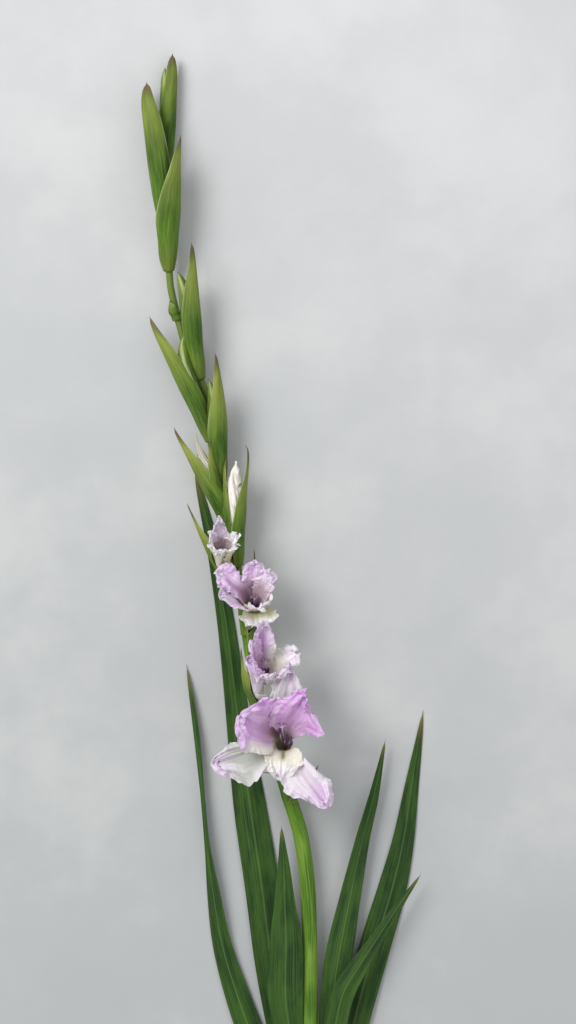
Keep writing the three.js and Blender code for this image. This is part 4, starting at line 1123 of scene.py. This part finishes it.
def tepal_marks(flower, tepal, paint, throat, t, b):
    """The numbers that colour a tepal's inner and outer side."""
    uneven = 0.6 + 0.4 * ripple(8 * t + 2 * np.sign(b), tepal["direction"])
    rays = 0.16 * ripple(11 * b, tepal["direction"])
    rim = np.maximum(uneven * smooth(np.abs(b), 0.45, 1.0), smooth(t + rays, 0.5, 1.0))
    hollow = 0.9 * flower["depth"] / tepal["length"]  # the share of the tepal that lines the throat
    patch = abs(paint["patch"]) * smooth(np.sign(paint["patch"]) * b, 0.3, 0.75) * fade(t, 0.5, 0.78)
    lilac = lerp(paint["lilac"], paint["edging"], rim) * lerp(0.6, 1.0, smooth(t, 0.1, 0.42)) * (1 - patch)
    yellowed = paint["moss"] * fade(t, 0.5, 0.85)
    cream = np.maximum(np.maximum(paint["cream"] * fade(t, 0.4, 0.95), 0.5 * patch), 0.9 * yellowed)
    # Dusk near the throat: the throat's dusky purple, and where it is strongest, painted shade of the hollow
    dusk = paint["dusk"] * fade(t + 0.1 * np.abs(b), hollow, hollow + throat["reach"]) * (1 - patch)
    dusk = dusk * (1 - 0.5 * rim) * (1 - 0.6 * smooth(np.sign(paint["patch"]) * b, -0.3, 0.5))
    green = throat["olive"] * fade(t, 0.06, 0.22) + 0 * b
    stripe = bell(b / lerp(0.22, 0.05, t)) * fade(t, 0.35, 0.6)
    green = np.maximum(np.maximum(green, 0.45 * yellowed), paint["guide"] * stripe)
    deep = paint["deep"] * bell((b - 0.2) / 0.3) * smooth(t, 0.3, 0.5) * fade(t, 0.75, 0.95)
    # Painted shade: the grey cast over a shaded tepal's middle, kept off its rim and laid at half strength
    # on its back
    painted_shade = paint["painted_shade"] * smooth(t, 0.15, 0.4) * (1 - rim)
    inner = vectors(lilac, cream, dusk), vectors(green, deep, painted_shade)
    moss = paint["moss"] * fade(t, 0.6, 0.95)
    midrib = 0.35 * bell(b / 0.12) * fade(t, 0.3, 0.8)
    back_green = np.maximum(np.maximum(0.5 * green, midrib), 0.45 * moss)
    outer = vectors(0.85 * lilac * (1 - moss), np.maximum(cream, moss), 0.3 * dusk * (1 - moss))
    return inner, (outer, vectors(back_green, deep, 0.5 * painted_shade))


def make_tepal(flower, number, tepal, paint, throat):
    """A ruffled petal with fine veins and a thin uneven edge."""
    mouth, facing, top, side = flower_frame(flower)
    radial = swung(side, top, tepal["direction"])
    sideways = swung(top, -side, tepal["direction"])
    start = tepal_foot(flower) + (WHORL_STEP if number < WHORL_SIZE else -WHORL_STEP)
    lean, before, after, curl = tepal_shape(flower, tepal, start)
    t, b = 1 - (1 - column(0, 1, TEPAL_GRID[0])) ** TIP_CROWDING, row(-1, 1, TEPAL_GRID[1])
    far = t * (1 - 0.06 * smooth(t, 0.5, 1) * (1 + ripple(8 * b, tepal["direction"])))
    out, high, angle = lean_line(start, flower["depth"], tepal["length"], lean, far)
    normal = -np.cos(angle)[..., None] * radial + np.sin(angle)[..., None] * facing
    half = np.where(b < 0, before(t), after(t)) * tepal_outline(tepal, t, b)
    bow = curl(t)
    bend = b * half * bow
    rise = (1 - np.cos(bend)) / bow + tepal_relief(tepal, paint["guide"], t, b)
    thick = lerp(0.34, 0.12, np.maximum(np.abs(b) ** 3, smooth(t, 0.8, 1.0)))
    line = mouth + out[..., None] * radial + high[..., None] * facing
    line = line + (np.sin(bend) / bow)[..., None] * sideways
    (tints, shades), (back_tints, back_shades) = tepal_marks(flower, tepal, paint, throat, t, b)
    where = vectors(b, t, 3.1 * number + tepal["direction"])
    marks = dict(place=where, tints=(tints, back_tints), shades=(shades, back_shades))
    return plate(line + (rise + thick)[..., None] * normal, line + (rise - thick)[..., None] * normal, marks)


def shaded_thread_skin(t, angle):
    """A thin thread, with painted shade where it stands in the throat."""
    return 0.5 - 0.15 * t, (0.0, 0.0, fade(t, 0.45, 0.95))


def anther_skin(t, angle):
    """Two long dark sacs with a groove between them, and pollen on the side that faces the mouth."""
    fat = 0.25 + 0.6 * np.sqrt(np.maximum(np.sin(np.pi * t), 0))
    pollen = 0.8 * smooth(np.sin(angle), 0.3, 0.9)
    return fat * (0.85 + 0.25 * np.abs(np.cos(angle)) ** 1.5), (1.0, pollen, 0.0)


def lobe_skin(dusk):
    """The skin of a lobe that broadens and darkens towards its fringed end, under an even painted shade as
    strong as its dusk.
    """

    def skin(t, angle):
        fringe = 1 + 0.18 * np.cos(10 * angle) * smooth(t, 0.5, 0.9)
        size = (0.35 + 0.55 * smooth(t, 0.1, 0.8)) * fringe * (1 - 0.6 * smooth(t, 0.93, 1.0))
        return size, (smooth(t, 0.1, 0.6), 0.0, dusk)

    return skin


def make_stamens(bud, flower):
    """Three stamens, joined where they leave the bottom of the tube."""
    _, facing, top, side = flower_frame(flower)
    curve = tube_curve(bud, flower)
    place, along = curve(THREADS_FROM)
    foot = place - STAMENS_BELOW * square_to(top, along)
    parts = []
    for i, anther in enumerate(flower["anthers"]):
        end = from_mouth(flower, *anther)
        bottom = foot + 0.4 * along + (i - 1) * 0.7 * side
        bend = curve(0.9)[0] + (i - 1) * 1.9 * side - 1.2 * top
        parts.append(rod(bezier([bottom, bend, end]), FILAMENT_GRID, shaded_thread_skin))
        lie = square_to(top + flower["upright"] * facing + 0.25 * (i - 1) * side, side)
        pod = bezier([end - ANTHER_HALF * lie, end + 0.5 * facing, end + ANTHER_HALF * lie])
        parts.append(rod(pod, ANTHER_GRID, anther_skin, side))
    return parts


def make_style(bud, flower, dusk):
    """The style, which ends in three spreading feathery lobes."""
    _, facing, top, side = flower_frame(flower)
    curve = tube_curve(bud, flower)
    place, along = curve(THREADS_FROM)
    foot = place + STYLE_ABOVE * square_to(top, along)
    end = from_mouth(flower, *flower["stigma"])
    parts = [rod(bezier([foot, curve(0.85)[0] + 2.2 * top, end]), STYLE_GRID, shaded_thread_skin)]
    spread = flower["throat"] * 0.42
    for angle in (30, 90, 150):
        away = swung(side, top, angle)
        outer = end + spread * away + 1.5 * facing
        lobe = bezier([end - 0.5 * facing, end + 0.6 * spread * away + 0.3 * facing, outer])
        parts.append(rod(lobe, LOBE_GRID, lobe_skin(dusk), facing))
    return parts


def make_flowers():
    for bud in BUDS:
        flower = FLOWERS.get(bud["name"])
        if not flower:
            continue
        name = bud["name"]
        parts = [make_tube(bud, flower, THROATS[name])]
        for number, (shape, colours) in enumerate(zip(flower["tepals"], PAINTS[name])):
            tepal, paint = dict(zip(TEPAL_KEYS, shape)), dict(zip(PAINT_KEYS, colours))
            parts.append(make_tepal(flower, number, tepal, paint, THROATS[name]))
        piece(f"{name}_perianth", parts, "petal")
        if "stigma" in flower:
            piece(f"{name}_stamens", make_stamens(bud, flower), "stamen")
            # The style's lobes take painted shade from the dusk of their flower's throat.
            piece(f"{name}_style", make_style(bud, flower, 0.8 * THROATS[name]["dusk"]), "style")


# The surface, the light and the camera


def floor_finish():
    """A pale cloudy surface, with painted light that makes it a little lighter towards the top right."""
    f = Finish("floor", 0.85, 0.2)
    place = f.put("ShaderNodeTexCoord").outputs["Object"]
    x, y, _ = f.put("ShaderNodeSeparateXYZ", {0: place}).outputs
    # Painted light: the surface is painted lighter along this slope towards the top right
    painted_light_slope = f.calc("ADD", f.times(x, 0.6), y)
    cloud = f.noise(place, 7.0, 7.0, 0.6)
    colour = f.over(
        f.mix(f.spread(painted_light_slope, 0.1, 1.2), "#bcbebd", "#dcdcdc"),
        (f.spread(cloud, 0.36, 0.56, 0.14, 0.0), "#a2a8ac"),
        (f.spread(cloud, 0.48, 0.66, 0.0, 0.18), "#efeeeb"),
    )
    return f.finish(colour)


def make_floor():
    """A plain pale surface under the stem."""
    mesh = bpy.data.meshes.new("floor")
    corners = [(x * FLOOR_HALF, y * FLOOR_HALF, 0) for x, y in ((-1, -1), (1, -1), (1, 1), (-1, 1))]
    mesh.from_pydata(corners, [], [(0, 1, 2, 3)])
    mesh.materials.append(floor_finish())
    floor = added("floor", mesh)


def make_light(name, place, size, power):
    light = bpy.data.lights.new(name, "AREA")
    light.shape = "DISK"
    light.size = size
    light.energy = power
    made = added(name, light)
    made.location = place
    aim = Vector(LIGHTS_AIM) - Vector(place)
    made.rotation_euler = aim.to_track_quat("-Z", "Y").to_euler()


def make_lights():
    make_light("key", **KEY_LIGHT)
    make_light("fill", **FILL_LIGHT)
    world = bpy.data.worlds.new("sky")
    world.use_nodes = True
    background = world.node_tree.nodes["Background"]
    background.inputs["Color"].default_value = SKY
    background.inputs["Strength"].default_value = SKY_STRENGTH
    bpy.context.scene.world = world
    bpy.context.scene.view_settings.view_transform = "Standard"


def make_camera():
    camera = bpy.data.cameras.new("camera")
    made = added("camera", camera)
    camera.lens = camera.sensor_width * CAMERA_AWAY / (PICTURE_HEIGHT * MM_PER_PIXEL)
    made.location = [value * MILLIMETRE for value in (*CAMERA_OVER, CAMERA_AWAY + CAMERA_LEVEL)]
    camera.clip_end = CAMERA_SIGHT
    bpy.context.scene.camera = made


make_camera()
make_floor()
make_lights()
make_scape()
make_leaves()
make_buds()
make_flowers()
